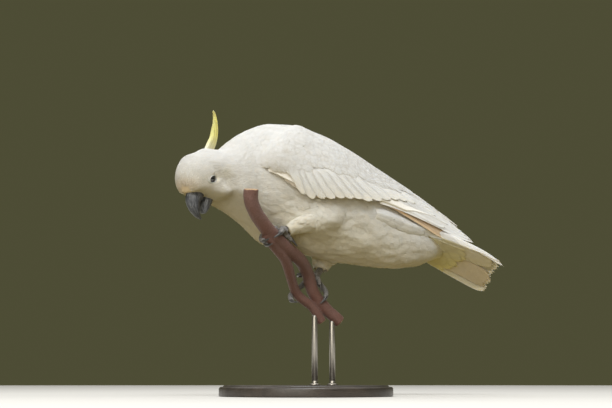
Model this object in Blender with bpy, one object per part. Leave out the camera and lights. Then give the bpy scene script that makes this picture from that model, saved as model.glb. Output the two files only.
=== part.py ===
"""Sulphur-crested cockatoo on a cut length of branch, held by a display stand.

The frame is in metres: -X is where the body faces, +Z is up, and the origin is the middle of the
base's underside. The body is one row of cross-sections, from the tail coverts to the face, divided
into nodes at narrow gaps. Wings, tail, legs, bill, eyes and crest are fitted against it.
"""

import math

import bmesh
import bpy
import numpy as np

MM = 0.001
GAP = 0.3 * MM  # the clearance between pieces that touch

# Body sections: along X, height of the axis, back above it, belly below it, half width (mm)
BODY = np.array([
    (210, 201, 3, 5, 6),
    (196, 206, 7, 16, 16),
    (180, 213, 14, 31, 24),
    (150, 224, 30, 50, 33),
    (115, 237, 50, 66, 40),
    (75, 251, 70, 76, 47),
    (25, 267, 87, 85, 52),
    (-20, 278, 88, 85, 54),
    (-62, 285, 79, 85, 49),
]) * MM
REAR_STATIONS = np.array([210, 204, 196, 184, 168, 150, 132, 115, 96]) * MM
RUMP_FRONT = 78 * MM
BREAST_FRONT = -62 * MM
BREAST_STEP = 35 * MM  # back from the breast's front to the section before it
TRUNK_STEPS = 7
TWIST = math.radians(21)  # the rump and tail turn about the body's axis
TWIST_FROM, TWIST_TO = -40 * MM, 170 * MM

# Neck sections: place (mm), dip and turn (degrees), above, below and beside the axis (mm)
NECK = np.array([
    (-90, -3, 283, 6, 8, 65, 63, 44),
    (-113, -10, 280, 15, 18, 48, 49, 41.5),
    (-131, -15, 280, 26, 26, 40, 42, 38),
    (-144, -18, 281, 36, 30, 36.5, 39, 35),
])
NECK_JOINT = 5  # the section where the head begins
NECK_BETWEEN = 2  # sections from one row of the table to the next

# The head: its middle, and how it is turned from the body's direction
HEAD = np.array((-152, -19, 281.5)) * MM
HEAD_TURN = math.radians(30)  # towards the bird's left
HEAD_DIP = math.radians(42)
# Face sections: ahead of the head's middle, above, below and beside it (mm)
FACE = np.array([
    (2, 34.5, 37.5, 33.5),
    (10, 32.5, 33, 32),
    (17, 30, 24, 29),
    (23, 26, 15, 25.5),
    (28, 21.5, 9, 21.5),
    (33, 14, 5, 15),
    (36, 7, 3, 8),
]) * MM
FACE_STATIONS = np.array([7, 12, 17, 21, 25, 28.5, 31.5, 34, 36]) * MM
SIDES = 24  # points round a section of the body

# Bill sections: ahead of and above the head's middle, half depth, half width (mm)
BILL_UPPER = np.array([
    (20, -11, 10, 11.5),
    (28, -12.5, 10.5, 11.5),
    (34, -17, 9.2, 10.3),
    (37.6, -23.5, 7.2, 8.2),
    (39, -30, 5.2, 6),
    (38.6, -36.5, 3.1, 3.6),
    (36.8, -42.5, 0.8, 0.9),
]) * MM
BILL_LOWER = np.array([
    (6, -22, 9, 9.5),
    (14, -27, 9, 11),
    (21, -32, 7.2, 9.6),
    (26.3, -36.2, 4.4, 7.2),
    (29, -39, 1.4, 4.4),
]) * MM
# Crest sections, the same way (mm)
CREST = np.array([
    (-29, 17, 6.4, 5),
    (-40, 20.5, 6.4, 5),
    (-50, 25, 6, 4.6),
    (-58.5, 31, 5.2, 4),
    (-65.5, 38.5, 4.4, 3.4),
    (-71, 46.5, 3.7, 2.8),
    (-74.5, 53, 2.8, 2.1),
    (-75.6, 57.5, 1.1, 1),
]) * MM
HORN_SIDES = 14  # points round a section of the bill
CREST_SIDES = 10

EYE_RADIUS = 6.6 * MM
EYE_SEAT = np.array((12.2, 26.3, -0.3)) * MM  # ahead, to the side, above the head's middle
EYE_SIDES, EYE_ROWS = 14, 9
EYE_POLE = 0.94  # how near an eyeball's first and last rings come to its poles

# Wing sections: along X, lower edge (out, up), upper edge (out, up), bulge (mm)
WING = np.array([
    (-84, 42, 8, 40, 22, 2.5),
    (-66, 50, 0, 45, 42, 8.5),
    (-30, 58, -14, 34, 77, 13),
    (10, 61, -14, 14, 92, 19),
    (60, 58, -8, 6, 89, 18),
    (110, 50, -3, 4, 84, 15),
    (150, 44, -1, 4, 79, 12),
    (190, 39, -1, 5, 71, 9),
    (222, 35, 4, 7, 60, 6),
    (243, 31, 12, 12, 46, 4),
    (253, 24, 20, 17, 34, 2),
]) * MM
WING_FRONT = np.array([-84, -76, -64, -48, -30, -10, 12, 36, 62]) * MM
WING_JOINT = 92 * MM  # coverts ahead of it, flight feathers behind
WING_REAR = np.array([112, 134, 156, 178, 198, 214, 228, 239, 247, 253]) * MM
WING_SIDES = 14

# Tail fan, on the line that the body's axis takes beyond the rump
TAIL_ROOT, TAIL_TIP = 118 * MM, 289 * MM
TAIL_SLOPE = math.tan(math.radians(20))
TAIL_HALF = (20 * MM, 43 * MM)
TAIL_THICK = (9 * MM, 2.6 * MM)
TAIL_FEATHERS = 6  # at each side
TAIL_ARCH = 7 * MM
TAIL_ROUNDING = 11 * MM  # how far the outermost feathers fall short of the middle ones
TAIL_NOTCH = 3.5 * MM  # how far the feather tips reach past the notches between them
TAIL_STEPS = 5
TAIL_EDGE = 0.4  # the plate's thickness at its edges, as a share of its middle's

# Branch: points of its middle line (mm), and its radius at each end
BRANCH = ((-100.9, -74, 258), (-99.6, -70, 244.6), (-90.7, -63, 229.6), (-72, -51, 211.8),
          (-57.1, -43, 202), (-43.4, -35, 193.2), (-14, -15, 178.4), (4, 3, 160.9),
          (14.2, 11, 138.8), (32.8, 14, 117.8), (54.8, 14, 99.2))
BRANCH_RADII = (9.6 * MM, 8.4 * MM)
FORK = ((-72.7, -49, 205.6), (-62.5, -43, 195.2), (-39.2, -27, 175.9), (-24.6, -9, 154.5),
        (-11.1, 5, 134.8), (11.9, 9, 118.2), (27.2, 11, 98.4))
FORK_RADII = (7.2 * MM, 6.4 * MM)
BRANCH_SIDES = 12

# Legs: which branch point each foot grips (counted along BRANCH, with parts of a step)
GRIP_LEFT, GRIP_RIGHT = 4.0, 7.3
TOE_RADIUS = 3.8 * MM
TOE_SIDES = 7
TOE_STEPS = 2
TOE_SEAT = 0.9  # how far a toe's middle stands off the bark, in toe radii
TOE_TAPER = (1.12, 0.8)  # a toe's thickness at its root and at its claw, in toe radii
ANKLE_RADIUS, SOLE_RADIUS = 4.6 * MM, 6.2 * MM
SOLE_LIFT, SOLE_AHEAD = 5 * MM, 2 * MM  # the sole's middle above the bark, and along the branch
SOLE_TURN = 0.2  # round the branch towards the bird's left, in radians
TARSUS_SIDES, THIGH_SIDES = 12, 16
CLAW_LENGTH = 12 * MM
CLAW_RADIUS, CLAW_TIP = 2.4 * MM, 0.4 * MM
CLAW_RINGS, CLAW_SIDES = 5, 7
CLAW_CURL = 0.52  # how far a claw's tip curls in, as a share of its length
CLAW_DROP = 0.15  # how far its root lies in from the toe's middle, in toe radii
# Thighs: place and radius of each section (mm), from inside the body to the ankle
THIGH_LEFT = ((48, -24, 236, 13), (27, -34, 233, 18.5), (8, -39, 230, 18.5), (-10, -42, 226, 15),
              (-27, -43, 219, 10.5), (-41, -44, 212.5, 6.5))
THIGH_RIGHT = ((50, 22, 220, 22), (43, 25, 204, 22.5), (37, 25, 192, 18.5), (32, 24, 180.5, 13.5),
               (29, 22, 171, 9))
# Toes: angle round the branch from its upper side, towards the bird's left (degrees), distance
# along it, and lift off its bark (mm)
TOES_LEFT = {
    "inner": ((0, 2, 0), (-70, -1, 0), (-130, -5, 1), (-168, -7, 3)),
    "middle": ((-5, -3, 0), (-70, -9, 0), (-130, -14, 1), (-178, -17, 4)),
    "outer": ((15, 6, 0), (30, 12, 0), (42, 18, 0)),
    "rear": ((12, 1, 0), (48, -3, 0), (84, -7, 0)),
}
TOES_RIGHT = {
    "inner": ((0, -2, 0), (-45, -5, 0), (-90, -8, 0), (-124, -11, 1)),
    "middle": ((-5, 4, 0), (-60, 6, 0), (-110, 8, 3), (-150, 9, 24), (-166, 9, 33)),
    "outer": ((18, 6, 0), (30, 15, 4), (56, 23, 6), (86, 27, 5)),
    "rear": ((22, 0, 0), (44, 4, 0), (60, 9, 0)),
}

# Stand
BASE_RADIUS = 115 * MM
BASE_HEIGHT = 14 * MM
BASE_EDGE = 2 * MM
BASE_SIDES = 40
ROD_RADIUS = 4 * MM
ROD_SIDES = 20
# Rods under the branch and under its fork: place, and a height inside the wood (mm)
RODS = ((43, 14, 108), (16, 9.6, 111))

PLUMAGE = ("plumage", (0.86, 0.84, 0.78), 0.85)
CREST_YELLOW = ("crest_feathers", (0.90, 0.84, 0.42), 0.8)
BILL_HORN = ("bill_horn", (0.09, 0.09, 0.10), 0.5)
EYE_DARK = ("eye_surface", (0.01, 0.008, 0.007), 0.1)
FOOT_SKIN = ("foot_skin", (0.20, 0.20, 0.21), 0.7)
CLAW_HORN = ("claw_horn", (0.03, 0.03, 0.035), 0.4)
BARK = ("bark", (0.28, 0.13, 0.09), 0.75)
STAND_METAL = ("stand_metal", (0.25, 0.24, 0.22), 0.4, 0.9)
STAND_BASE = ("stand_base", (0.05, 0.045, 0.04), 0.4)


# ---------------------------------------------------------------- curves

def smooth_rows(rows, at):
    """Rows of numbers read between their first column's values, on a smooth curve through them."""
    rows = rows[np.argsort(rows[:, 0])]
    places, values = rows[:, 0], rows[:, 1:]
    slopes = np.gradient(values, places, axis=0)
    at = np.clip(np.atleast_1d(at), places[0], places[-1])
    low = np.clip(np.searchsorted(places, at) - 1, 0, len(places) - 2)
    span = (places[low + 1] - places[low])[:, None]
    t = (at - places[low])[:, None] / span
    return (
        (2 * t**3 - 3 * t**2 + 1) * values[low]
        + (t**3 - 2 * t**2 + t) * span * slopes[low]
        + (3 * t**2 - 2 * t**3) * values[low + 1]
        + (t**3 - t**2) * span * slopes[low + 1]
    )


def through(points, steps):
    """A smooth line through the points, with the given number of steps between neighbours."""
    points = np.array(points, dtype=float)
    counted = np.column_stack([np.arange(len(points)), points])
    return smooth_rows(counted, np.linspace(0, len(points) - 1, (len(points) - 1) * steps + 1))


# ---------------------------------------------------------------- solids

def finish(name, rgb, roughness, metallic=0.0):
    """A plain material, made once for each name."""
    found = bpy.data.materials.get(name)
    if found:
        return found
    made = bpy.data.materials.new(name)
    made.use_nodes = True
    shader = made.node_tree.nodes["Principled BSDF"]
    shader.inputs["Base Color"].default_value = (*rgb, 1)
    shader.inputs["Roughness"].default_value = roughness
    shader.inputs["Metallic"].default_value = metallic
    return made


def fan(mesh, loop, ring):
    """Closes a round end with triangles to its middle."""
    middle = mesh.verts.new(np.mean(ring, axis=0))
    for i in range(len(loop)):
        mesh.faces.new((loop[i], loop[(i + 1) % len(loop)], middle))


def strip(mesh, loop, ring):
    """Closes the end of a thin plate from its upper points to the lower ones below them."""
    last = len(ring) - 1
    for i in range(len(ring) // 2 - 1):
        mesh.faces.new((loop[i], loop[i + 1], loop[last - i - 1], loop[last - i]))


def lofted(name, rings, colour, close=fan):
    """A solid through a row of rings that all have the same number of points."""
    mesh = bmesh.new()
    loops = [[mesh.verts.new(point) for point in ring] for ring in rings]
    for first, second in zip(loops, loops[1:]):
        for i in range(len(first)):
            j = (i + 1) % len(first)
            mesh.faces.new((first[i], first[j], second[j], second[i]))
    close(mesh, loops[0], rings[0])
    close(mesh, loops[-1], rings[-1])
    bmesh.ops.recalc_face_normals(mesh, faces=mesh.faces)
    data = bpy.data.meshes.new(name)
    mesh.to_mesh(data)
    mesh.free()
    item = bpy.data.objects.new(name, data)
    bpy.context.scene.collection.objects.link(item)
    data.materials.append(finish(*colour))
    return item


def tube_rings(centres, radii, sides, grow=0.0):
    """Round sections square to a line, each turned as little as possible from the one before."""
    heading = np.gradient(centres, axis=0)
    heading /= np.linalg.norm(heading, axis=1)[:, None]
    across = np.cross(heading[0], (0.3, 0.9, 0.1))
    angles = np.arange(sides) * 2 * math.pi / sides
    rings = []
    for centre, ahead, radius in zip(centres, heading, radii):
        across = across - ahead * (across @ ahead)
        across /= np.linalg.norm(across)
        over = np.cross(ahead, across)
        turned = np.outer(np.cos(angles), across) + np.outer(np.sin(angles), over)
        rings.append(centre + (radius + grow) * turned)
    if grow:
        rings[0] = rings[0] - heading[0] * grow
        rings[-1] = rings[-1] + heading[-1] * grow
    return rings


def cutter(item):
    """Marks a helper that only shapes other pieces."""
    item.hide_render = True
    item.display_type = "WIRE"
    return item


def shape(item, helper, operation):
    modifier = item.modifiers.new(operation.lower(), "BOOLEAN")
    modifier.object = helper
    modifier.operation = operation
    modifier.solver = "EXACT"


def with_gap(rings, at_start, at_end):
    """The rings with half a gap taken off the ends that meet another piece."""
    rings = [ring.copy() for ring in rings]
    for last, before, wanted in ((0, 1, at_start), (-1, -2, at_end)):
        if wanted:
            inward = rings[before].mean(axis=0) - rings[last].mean(axis=0)
            rings[last] += inward / np.linalg.norm(inward) * GAP / 2
    return rings


# ---------------------------------------------------------------- body

def axis_height(along):
    """The height of the body's axis; beyond the rump it is the tail's straight line."""
    end = BODY[0]
    beyond = end[1] - (along - end[0]) * TAIL_SLOPE
    return np.where(along > end[0], beyond, smooth_rows(BODY, along)[:, 0])


def turned_with_body(along, side, height):
    """Points beside and above the axis, turned with the rump and tail, as X, Y, Z."""
    share = np.clip((along - TWIST_FROM) / (TWIST_TO - TWIST_FROM), 0, 1)
    turn = TWIST * share**2 * (3 - 2 * share)
    return np.stack([
        along,
        side * np.cos(turn) + height * np.sin(turn),
        axis_height(along) - side * np.sin(turn) + height * np.cos(turn),
    ], axis=1)


def oval(above, below, beside):
    """Side and height of points round a section, from the bird's right, over its back."""
    angles = np.arange(SIDES) * 2 * math.pi / SIDES
    height = np.where(np.sin(angles) > 0, above, below) * np.sin(angles)
    return beside * np.cos(angles), height


def body_ring(along, grow=0.0):
    _, above, below, beside = smooth_rows(BODY, along)[0]
    side, height = oval(above + grow, below + grow, beside + grow)
    return turned_with_body(np.full(SIDES, along), side, height)


def directions(dip, turn):
    """Ahead, to the bird's left, and above, for a head turned to its left and dipped."""
    level = math.cos(dip)
    ahead = np.array((-math.cos(turn) * level, -math.sin(turn) * level, -math.sin(dip)))
    left = np.array((math.sin(turn), -math.cos(turn), 0))
    return ahead, left, np.cross(ahead, left)


def in_head(ahead, left, above):
    """Places of the head, given in its own directions."""
    axes = directions(HEAD_DIP, HEAD_TURN)
    return HEAD + np.outer(ahead, axes[0]) + np.outer(left, axes[1]) + np.outer(above, axes[2])


def neck_ring(row, grow):
    dip, turn = np.radians(row[3:5])
    above, below, beside = row[5:8] * MM + grow
    side, height = oval(above, below, beside)
    _, left, up = directions(dip, turn)
    return row[:3] * MM - np.outer(side, left) + np.outer(height, up)


def neck_rings(grow=0.0):
    """Sections from the breast to the head, on smooth lines through those of the table."""
    table = [body_ring(BREAST_FRONT + BREAST_STEP, grow), body_ring(BREAST_FRONT, grow)]
    table += [neck_ring(row, grow) for row in NECK]
    table += [face_ring(ahead, grow) for ahead in FACE[:2, 0]]
    table = np.array([ring.ravel() for ring in table])
    joined = through(table, NECK_BETWEEN)[NECK_BETWEEN:-NECK_BETWEEN]
    return [row.reshape(-1, 3) for row in joined]


def face_ring(ahead, grow=0.0):
    above, below, beside = smooth_rows(FACE, ahead)[0] + grow
    side, height = oval(above, below, beside)
    return in_head(np.full(SIDES, ahead), -side, height)


def body_rings(grow=0.0):
    """Every section of the body, and the places in the row where its nodes meet."""
    rings = [body_ring(x, grow) for x in REAR_STATIONS]
    rump_end = len(rings)
    rings += [body_ring(x, grow) for x in np.linspace(RUMP_FRONT, BREAST_FRONT, TRUNK_STEPS + 1)]
    trunk_end = len(rings) - 1
    rings += neck_rings(grow)[1:]
    neck_end = trunk_end + NECK_JOINT
    rings += [face_ring(x, grow) for x in FACE_STATIONS]
    if grow:
        rings[0] = rings[0] + (grow, 0, 0)
        rings[-1] = rings[-1] + directions(HEAD_DIP, HEAD_TURN)[0] * grow
    return rings, (rump_end, trunk_end, neck_end)


def make_body():
    rings, (rump_end, trunk_end, neck_end) = body_rings()
    lofted("rump", with_gap(rings[: rump_end + 1], False, True), PLUMAGE)
    lofted("trunk", with_gap(rings[rump_end : trunk_end + 1], True, True), PLUMAGE)
    lofted("neck", with_gap(rings[trunk_end : neck_end + 1], True, True), PLUMAGE)
    return lofted("head", with_gap(rings[neck_end:], True, False), PLUMAGE)


# ---------------------------------------------------------------- bill, crest, eyes

def head_part_rings(table, between, sides, grow=0.0):
    """Oval sections square to a line in the head's middle plane."""
    rows = through(table, between)
    line = rows[:, :2]
    heading = np.gradient(line, axis=0)
    heading /= np.linalg.norm(heading, axis=1)[:, None]
    if grow:
        line[0] -= heading[0] * grow
        line[-1] += heading[-1] * grow
    angles = (np.arange(sides) + 0.5) * 2 * math.pi / sides
    rings = []
    for centre, ahead, (deep, wide) in zip(line, heading, rows[:, 2:]):
        over = (deep + grow) * np.sin(angles)
        side = (wide + grow) * np.cos(angles)
        rings.append(in_head(centre[0] - ahead[1] * over, side, centre[1] + ahead[0] * over))
    return rings


def make_bill(head):
    """The curved upper bill over the lower one, both let into the head."""
    made = []
    for name, table, between in (("bill_upper", BILL_UPPER, 2), ("bill_lower", BILL_LOWER, 1)):
        item = lofted(name, head_part_rings(table, between, HORN_SIDES), BILL_HORN)
        space = cutter(lofted(name + "_space", head_part_rings(table, 2, HORN_SIDES, GAP), BILL_HORN))
        shape(head, space, "DIFFERENCE")
        made.append((item, space))
    (_, upper_space), (lower, _) = made
    shape(lower, upper_space, "DIFFERENCE")


def make_crest(clearance):
    crest = lofted("crest", head_part_rings(CREST, 2, CREST_SIDES), CREST_YELLOW)
    shape(crest, clearance, "DIFFERENCE")


def ball_rings(centre, radius):
    """Level rings of a ball, the first and last just off its poles."""
    angles = np.arange(EYE_SIDES) * 2 * math.pi / EYE_SIDES
    rings = []
    for rise in np.linspace(-0.5, 0.5, EYE_ROWS) * math.pi * EYE_POLE:
        reach = radius * math.cos(rise)
        height = np.full(EYE_SIDES, radius * math.sin(rise))
        ring = np.stack([np.cos(angles) * reach, np.sin(angles) * reach, height], axis=1)
        rings.append(ring + centre)
    return rings


def make_eyes(head):
    for name, side in (("eye_left", 1), ("eye_right", -1)):
        centre = in_head(EYE_SEAT[:1], EYE_SEAT[1:2] * side, EYE_SEAT[2:])[0]
        lofted(name, ball_rings(centre, EYE_RADIUS), EYE_DARK)
        socket = cutter(lofted(name + "_socket", ball_rings(centre, EYE_RADIUS + GAP), EYE_DARK))
        shape(head, socket, "DIFFERENCE")


# ---------------------------------------------------------------- wings and tail

def wing_ring(along, side):
    """A lens between the wing's lower and upper edges, on the left (-1) or the right (1)."""
    low_out, low_up, top_out, top_up, bulge = smooth_rows(WING, along)[0]
    middle = np.array([low_out + top_out, low_up + top_up]) / 2
    rise = np.array([top_out - low_out, top_up - low_up]) / 2
    outward = np.array([rise[1], -rise[0]]) / np.linalg.norm(rise)
    angles = np.arange(WING_SIDES) * 2 * math.pi / WING_SIDES
    flat = middle + np.outer(np.sin(angles), rise) + np.outer(np.cos(angles), outward * bulge)
    return turned_with_body(np.full(WING_SIDES, along), side * flat[:, 0], flat[:, 1])


def make_wings(clearances):
    for name, side in (("wing_left", -1), ("wing_right", 1)):
        front = [wing_ring(x, side) for x in (*WING_FRONT, WING_JOINT)]
        rear = [wing_ring(x, side) for x in (WING_JOINT, *WING_REAR)]
        coverts = lofted(name + "_coverts", with_gap(front, False, True), PLUMAGE)
        flight = lofted(name + "_flight", with_gap(rear, True, False), PLUMAGE)
        for clearance in clearances:
            shape(coverts, clearance, "DIFFERENCE")
            shape(flight, clearance, "DIFFERENCE")


def tail_ring(along, grow=0.0):
    """A thin arched plate that widens towards the tip."""
    share = (along - TAIL_ROOT) / (TAIL_TIP - TAIL_ROOT)
    half = TAIL_HALF[0] + (TAIL_HALF[1] - TAIL_HALF[0]) * share + grow
    thick = TAIL_THICK[0] + (TAIL_THICK[1] - TAIL_THICK[0]) * share
    across = np.linspace(-1, 1, 4 * TAIL_FEATHERS + 1)
    arch = TAIL_ARCH * share * (0.5 - across**2)
    skin = thick / 2 * (TAIL_EDGE + (1 - TAIL_EDGE) * np.sqrt(1 - across**4)) + grow
    near_tip = max(0.0, share * 4 - 3)
    feather_tips = TAIL_NOTCH * np.abs(np.sin(across * TAIL_FEATHERS * math.pi)) * near_tip
    back = along - TAIL_ROUNDING * across**4 * share**3 + feather_tips
    upper = turned_with_body(back, across * half, arch + skin)
    lower = turned_with_body(back, across * half, arch - skin)
    return np.vstack([upper, lower[::-1]])


def make_tail(clearance):
    stations = np.linspace(TAIL_ROOT, TAIL_TIP, TAIL_STEPS + 1)
    tail = lofted("tail", [tail_ring(x) for x in stations], PLUMAGE, strip)
    shape(tail, clearance, "DIFFERENCE")
    return cutter(lofted("tail_clearance", [tail_ring(x, GAP) for x in stations], PLUMAGE, strip))


# ---------------------------------------------------------------- branch

def branch_rings(line, radii, grow=0.0):
    centres = through(np.array(line) * MM, 2)
    return tube_rings(centres, np.linspace(*radii, len(centres)), BRANCH_SIDES, grow)


def make_perch():
    """The branch with its fork, and the same a little larger for what sits against it."""
    made = []
    for name, grow in (("perch_branch", 0.0), ("bark_clearance", GAP)):
        main = lofted(name, branch_rings(BRANCH, BRANCH_RADII, grow), BARK)
        fork = cutter(lofted(name + "_fork", branch_rings(FORK, FORK_RADII, grow), BARK))
        shape(main, fork, "UNION")
        made.append(main)
    return cutter(made[1])


# ---------------------------------------------------------------- legs

def grip_frame(at):
    """Where a foot grips the branch: the place, along it, its upper side, and its left side."""
    line = np.column_stack([np.arange(len(BRANCH)), np.array(BRANCH) * MM])
    place = smooth_rows(line, at)[0]
    step = 0.05
    ahead = smooth_rows(line, at + step)[0] - smooth_rows(line, at - step)[0]
    ahead /= np.linalg.norm(ahead)
    upper = np.array((0, 0, 1)) - ahead * ahead[2]
    upper /= np.linalg.norm(upper)
    return place, ahead, upper, np.cross(ahead, upper)


def toe_line(at, steps, settings):
    """A toe's middle line, from angles round the branch, distances along it and lifts."""
    place, ahead, upper, left = grip_frame(at)
    bark = np.interp(at, (0, len(BRANCH) - 1), BRANCH_RADII)
    rows = through(settings, steps)
    angles = np.radians(rows[:, 0])
    reach = bark + TOE_RADIUS * TOE_SEAT + rows[:, 2] * MM
    return (
        place
        + np.outer(rows[:, 1] * MM, ahead)
        + np.outer(reach * np.cos(angles), upper)
        + np.outer(reach * np.sin(angles), left)
    ), place


def make_foot(side, at, toes, ankle, bark):
    """The scaly tarsus and sole with four toes, and a claw ahead of each toe."""
    place, ahead, upper, left = grip_frame(at)
    radius = np.interp(at, (0, len(BRANCH) - 1), BRANCH_RADII)
    off_bark = upper * math.cos(SOLE_TURN) + left * math.sin(SOLE_TURN)
    sole = place + off_bark * (radius + SOLE_LIFT) + ahead * SOLE_AHEAD
    tarsus = np.linspace(ankle, sole, 5)
    thickness = np.linspace(ANKLE_RADIUS, SOLE_RADIUS, len(tarsus))
    foot = lofted("foot_" + side, tube_rings(tarsus, thickness, TARSUS_SIDES), FOOT_SKIN)
    for toe, settings in toes.items():
        line, centre = toe_line(at, TOE_STEPS, settings)
        radii = TOE_RADIUS * np.linspace(*TOE_TAPER, len(line))
        piece = cutter(lofted(f"toe_{side}_{toe}", tube_rings(line, radii, TOE_SIDES), FOOT_SKIN))
        shape(foot, piece, "UNION")
        make_claw(f"claw_{side}_{toe}", line, centre, ahead, bark)
    shape(foot, bark, "DIFFERENCE")
    return foot


def make_claw(name, toe, centre, ahead, bark):
    """A claw that carries on from the toe and curls in towards the branch."""
    heading = toe[-1] - toe[-2]
    heading /= np.linalg.norm(heading)
    inward = centre - toe[-1]
    inward -= ahead * (inward @ ahead)
    inward -= heading * (inward @ heading)
    inward /= np.linalg.norm(inward)
    root = toe[-1] + heading * GAP - inward * TOE_RADIUS * CLAW_DROP
    curl = CLAW_LENGTH * CLAW_CURL * (1 - (heading @ ahead) ** 2)
    t = np.linspace(0, 1, CLAW_RINGS)
    line = root + np.outer(t * CLAW_LENGTH, heading) + np.outer(t**2 * curl, inward)
    radii = CLAW_RADIUS + (CLAW_TIP - CLAW_RADIUS) * t
    claw = lofted(name, tube_rings(line, radii, CLAW_SIDES), CLAW_HORN)
    shape(claw, bark, "DIFFERENCE")


def make_leg(side, sections, at, toes, body, bark):
    """A feathered thigh, cut to fit the body and the branch, and the foot below it."""
    sections = np.array(sections) * MM
    rows = through(sections, 2)

    def thigh_rings(grow):
        return tube_rings(rows[:, :3], rows[:, 3], THIGH_SIDES, grow)

    thigh = lofted("thigh_" + side, thigh_rings(0.0), PLUMAGE)
    foot = make_foot(side, at, toes, sections[-1, :3], bark)
    thigh_space = cutter(lofted(f"thigh_{side}_clearance", thigh_rings(GAP), PLUMAGE))
    shape(foot, thigh_space, "DIFFERENCE")
    shape(thigh, body, "DIFFERENCE")
    shape(thigh, bark, "DIFFERENCE")


# ---------------------------------------------------------------- stand

def make_stand(bark):
    angles = np.arange(BASE_SIDES) * 2 * math.pi / BASE_SIDES
    circle = np.stack([np.cos(angles), np.sin(angles), np.zeros(BASE_SIDES)], axis=1)
    edge_foot, top_radius = BASE_HEIGHT - BASE_EDGE, BASE_RADIUS - BASE_EDGE
    profile = ((BASE_RADIUS, 0), (BASE_RADIUS, edge_foot), (top_radius, BASE_HEIGHT))
    lofted("stand_base", [circle * radius + (0, 0, height) for radius, height in profile], STAND_BASE)
    for number, top in enumerate(np.array(RODS) * MM, 1):
        line = np.array([(*top[:2], BASE_HEIGHT + GAP), top])
        rings = tube_rings(line, (ROD_RADIUS, ROD_RADIUS), ROD_SIDES)
        rod = lofted(f"stand_rod_{number}", rings, STAND_METAL)
        shape(rod, bark, "DIFFERENCE")


def main():
    for item in list(bpy.data.objects):
        bpy.data.objects.remove(item)
    head = make_body()
    body = cutter(lofted("body_clearance", body_rings(GAP)[0], PLUMAGE))
    make_bill(head)
    make_crest(body)
    make_eyes(head)
    tail = make_tail(body)
    make_wings((body, tail))
    bark = make_perch()
    make_leg("left", THIGH_LEFT, GRIP_LEFT, TOES_LEFT, body, bark)
    make_leg("right", THIGH_RIGHT, GRIP_RIGHT, TOES_RIGHT, body, bark)
    make_stand(bark)


main()
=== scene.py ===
"""A sulphur-crested cockatoo on a cut branch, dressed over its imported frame.

One skin lies under the plumage. Feathers are thin closed vanes laid on smooth surfaces in the way a
bird's feathers lie, each row over the roots of the next. Everything is in metres, in the frame's
own place: -X is where the body faces, -Y is the bird's left, +Z is up.
"""

import math

import bpy
import numpy as np
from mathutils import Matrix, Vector


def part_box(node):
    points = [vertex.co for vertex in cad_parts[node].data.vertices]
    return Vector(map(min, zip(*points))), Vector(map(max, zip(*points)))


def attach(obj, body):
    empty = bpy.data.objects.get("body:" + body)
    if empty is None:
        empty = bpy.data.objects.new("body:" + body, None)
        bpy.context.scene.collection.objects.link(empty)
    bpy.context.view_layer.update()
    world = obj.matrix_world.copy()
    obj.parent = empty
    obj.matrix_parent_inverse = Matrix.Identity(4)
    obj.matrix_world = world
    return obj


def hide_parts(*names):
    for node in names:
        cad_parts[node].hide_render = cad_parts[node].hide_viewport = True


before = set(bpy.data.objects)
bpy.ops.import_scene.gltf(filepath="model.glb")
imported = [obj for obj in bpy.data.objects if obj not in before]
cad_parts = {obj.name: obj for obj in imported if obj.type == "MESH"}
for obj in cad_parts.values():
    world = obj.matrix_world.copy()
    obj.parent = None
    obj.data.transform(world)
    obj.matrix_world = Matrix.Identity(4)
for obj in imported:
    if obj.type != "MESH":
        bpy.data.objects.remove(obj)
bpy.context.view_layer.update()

bl_info = {
    "name": "Perched cockatoo",
    "version": (1, 0, 0),
    "blender": (4, 5, 0),
    "location": "3D View > Sidebar > Cockatoo",
    "description": "Builds the plumage, bare parts, branch, stand and stage of a perched cockatoo",
    "category": "Add Mesh",
}

MM = 0.001
TURN = 2 * math.pi

# ------------------------------------------------------------------ the frame's own sections
# The same sections as the solids', in millimetres and degrees, so that the coat fits them.

BODY = np.array([  # along X, height of the axis, back above it, belly below it, half width
    (210, 201, 3, 5, 6),
    (196, 206, 7, 16, 16),
    (180, 213, 14, 31, 24),
    (150, 224, 30, 50, 33),
    (115, 237, 50, 66, 40),
    (75, 251, 70, 76, 47),
    (25, 267, 87, 85, 52),
    (-20, 278, 88, 85, 54),
    (-62, 285, 79, 85, 49),
]) * MM
BODY_STATIONS = np.array([204, 196, 184, 168, 150, 132, 115, 96, 78, 58, 38, 18, -2, -22, -42, -62]) * MM
TWIST = math.radians(21)
TWIST_FROM, TWIST_TO = -40 * MM, 170 * MM
NECK = np.array([  # place, dip and turn, above, below and beside the axis
    (-90, -3, 283, 6, 8, 65, 63, 44),
    (-113, -10, 280, 15, 18, 48, 46.5, 41.5),
    (-131, -15, 280, 26, 26, 40, 40, 38),
    (-144, -18, 281, 36, 30, 36.5, 39, 35),
])
HEAD = np.array((-152, -19, 281.5)) * MM
HEAD_TURN, HEAD_DIP = math.radians(30), math.radians(42)
FACE = np.array([  # ahead of the head's middle, above, below and beside it
    (2, 34.5, 37.5, 33.5),
    (10, 32.5, 33, 32),
    (17, 30, 24, 29),
    (23, 26, 15, 25.5),
    (28, 21.5, 9, 21.5),
    (33, 14, 5, 15),
    (36, 7, 3, 8),
]) * MM
EYE_SEAT = np.array((11.0, 26.5, -1.2)) * MM  # ahead, to the side, above the head's middle
NECK_FULLNESS, FACE_FULLNESS = 2.3, 2.7  # powers of the lower halves of the sections
FACE_STATIONS = np.array([7, 12, 17, 21, 25, 28.5, 31.5, 34, 36]) * MM
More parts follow.
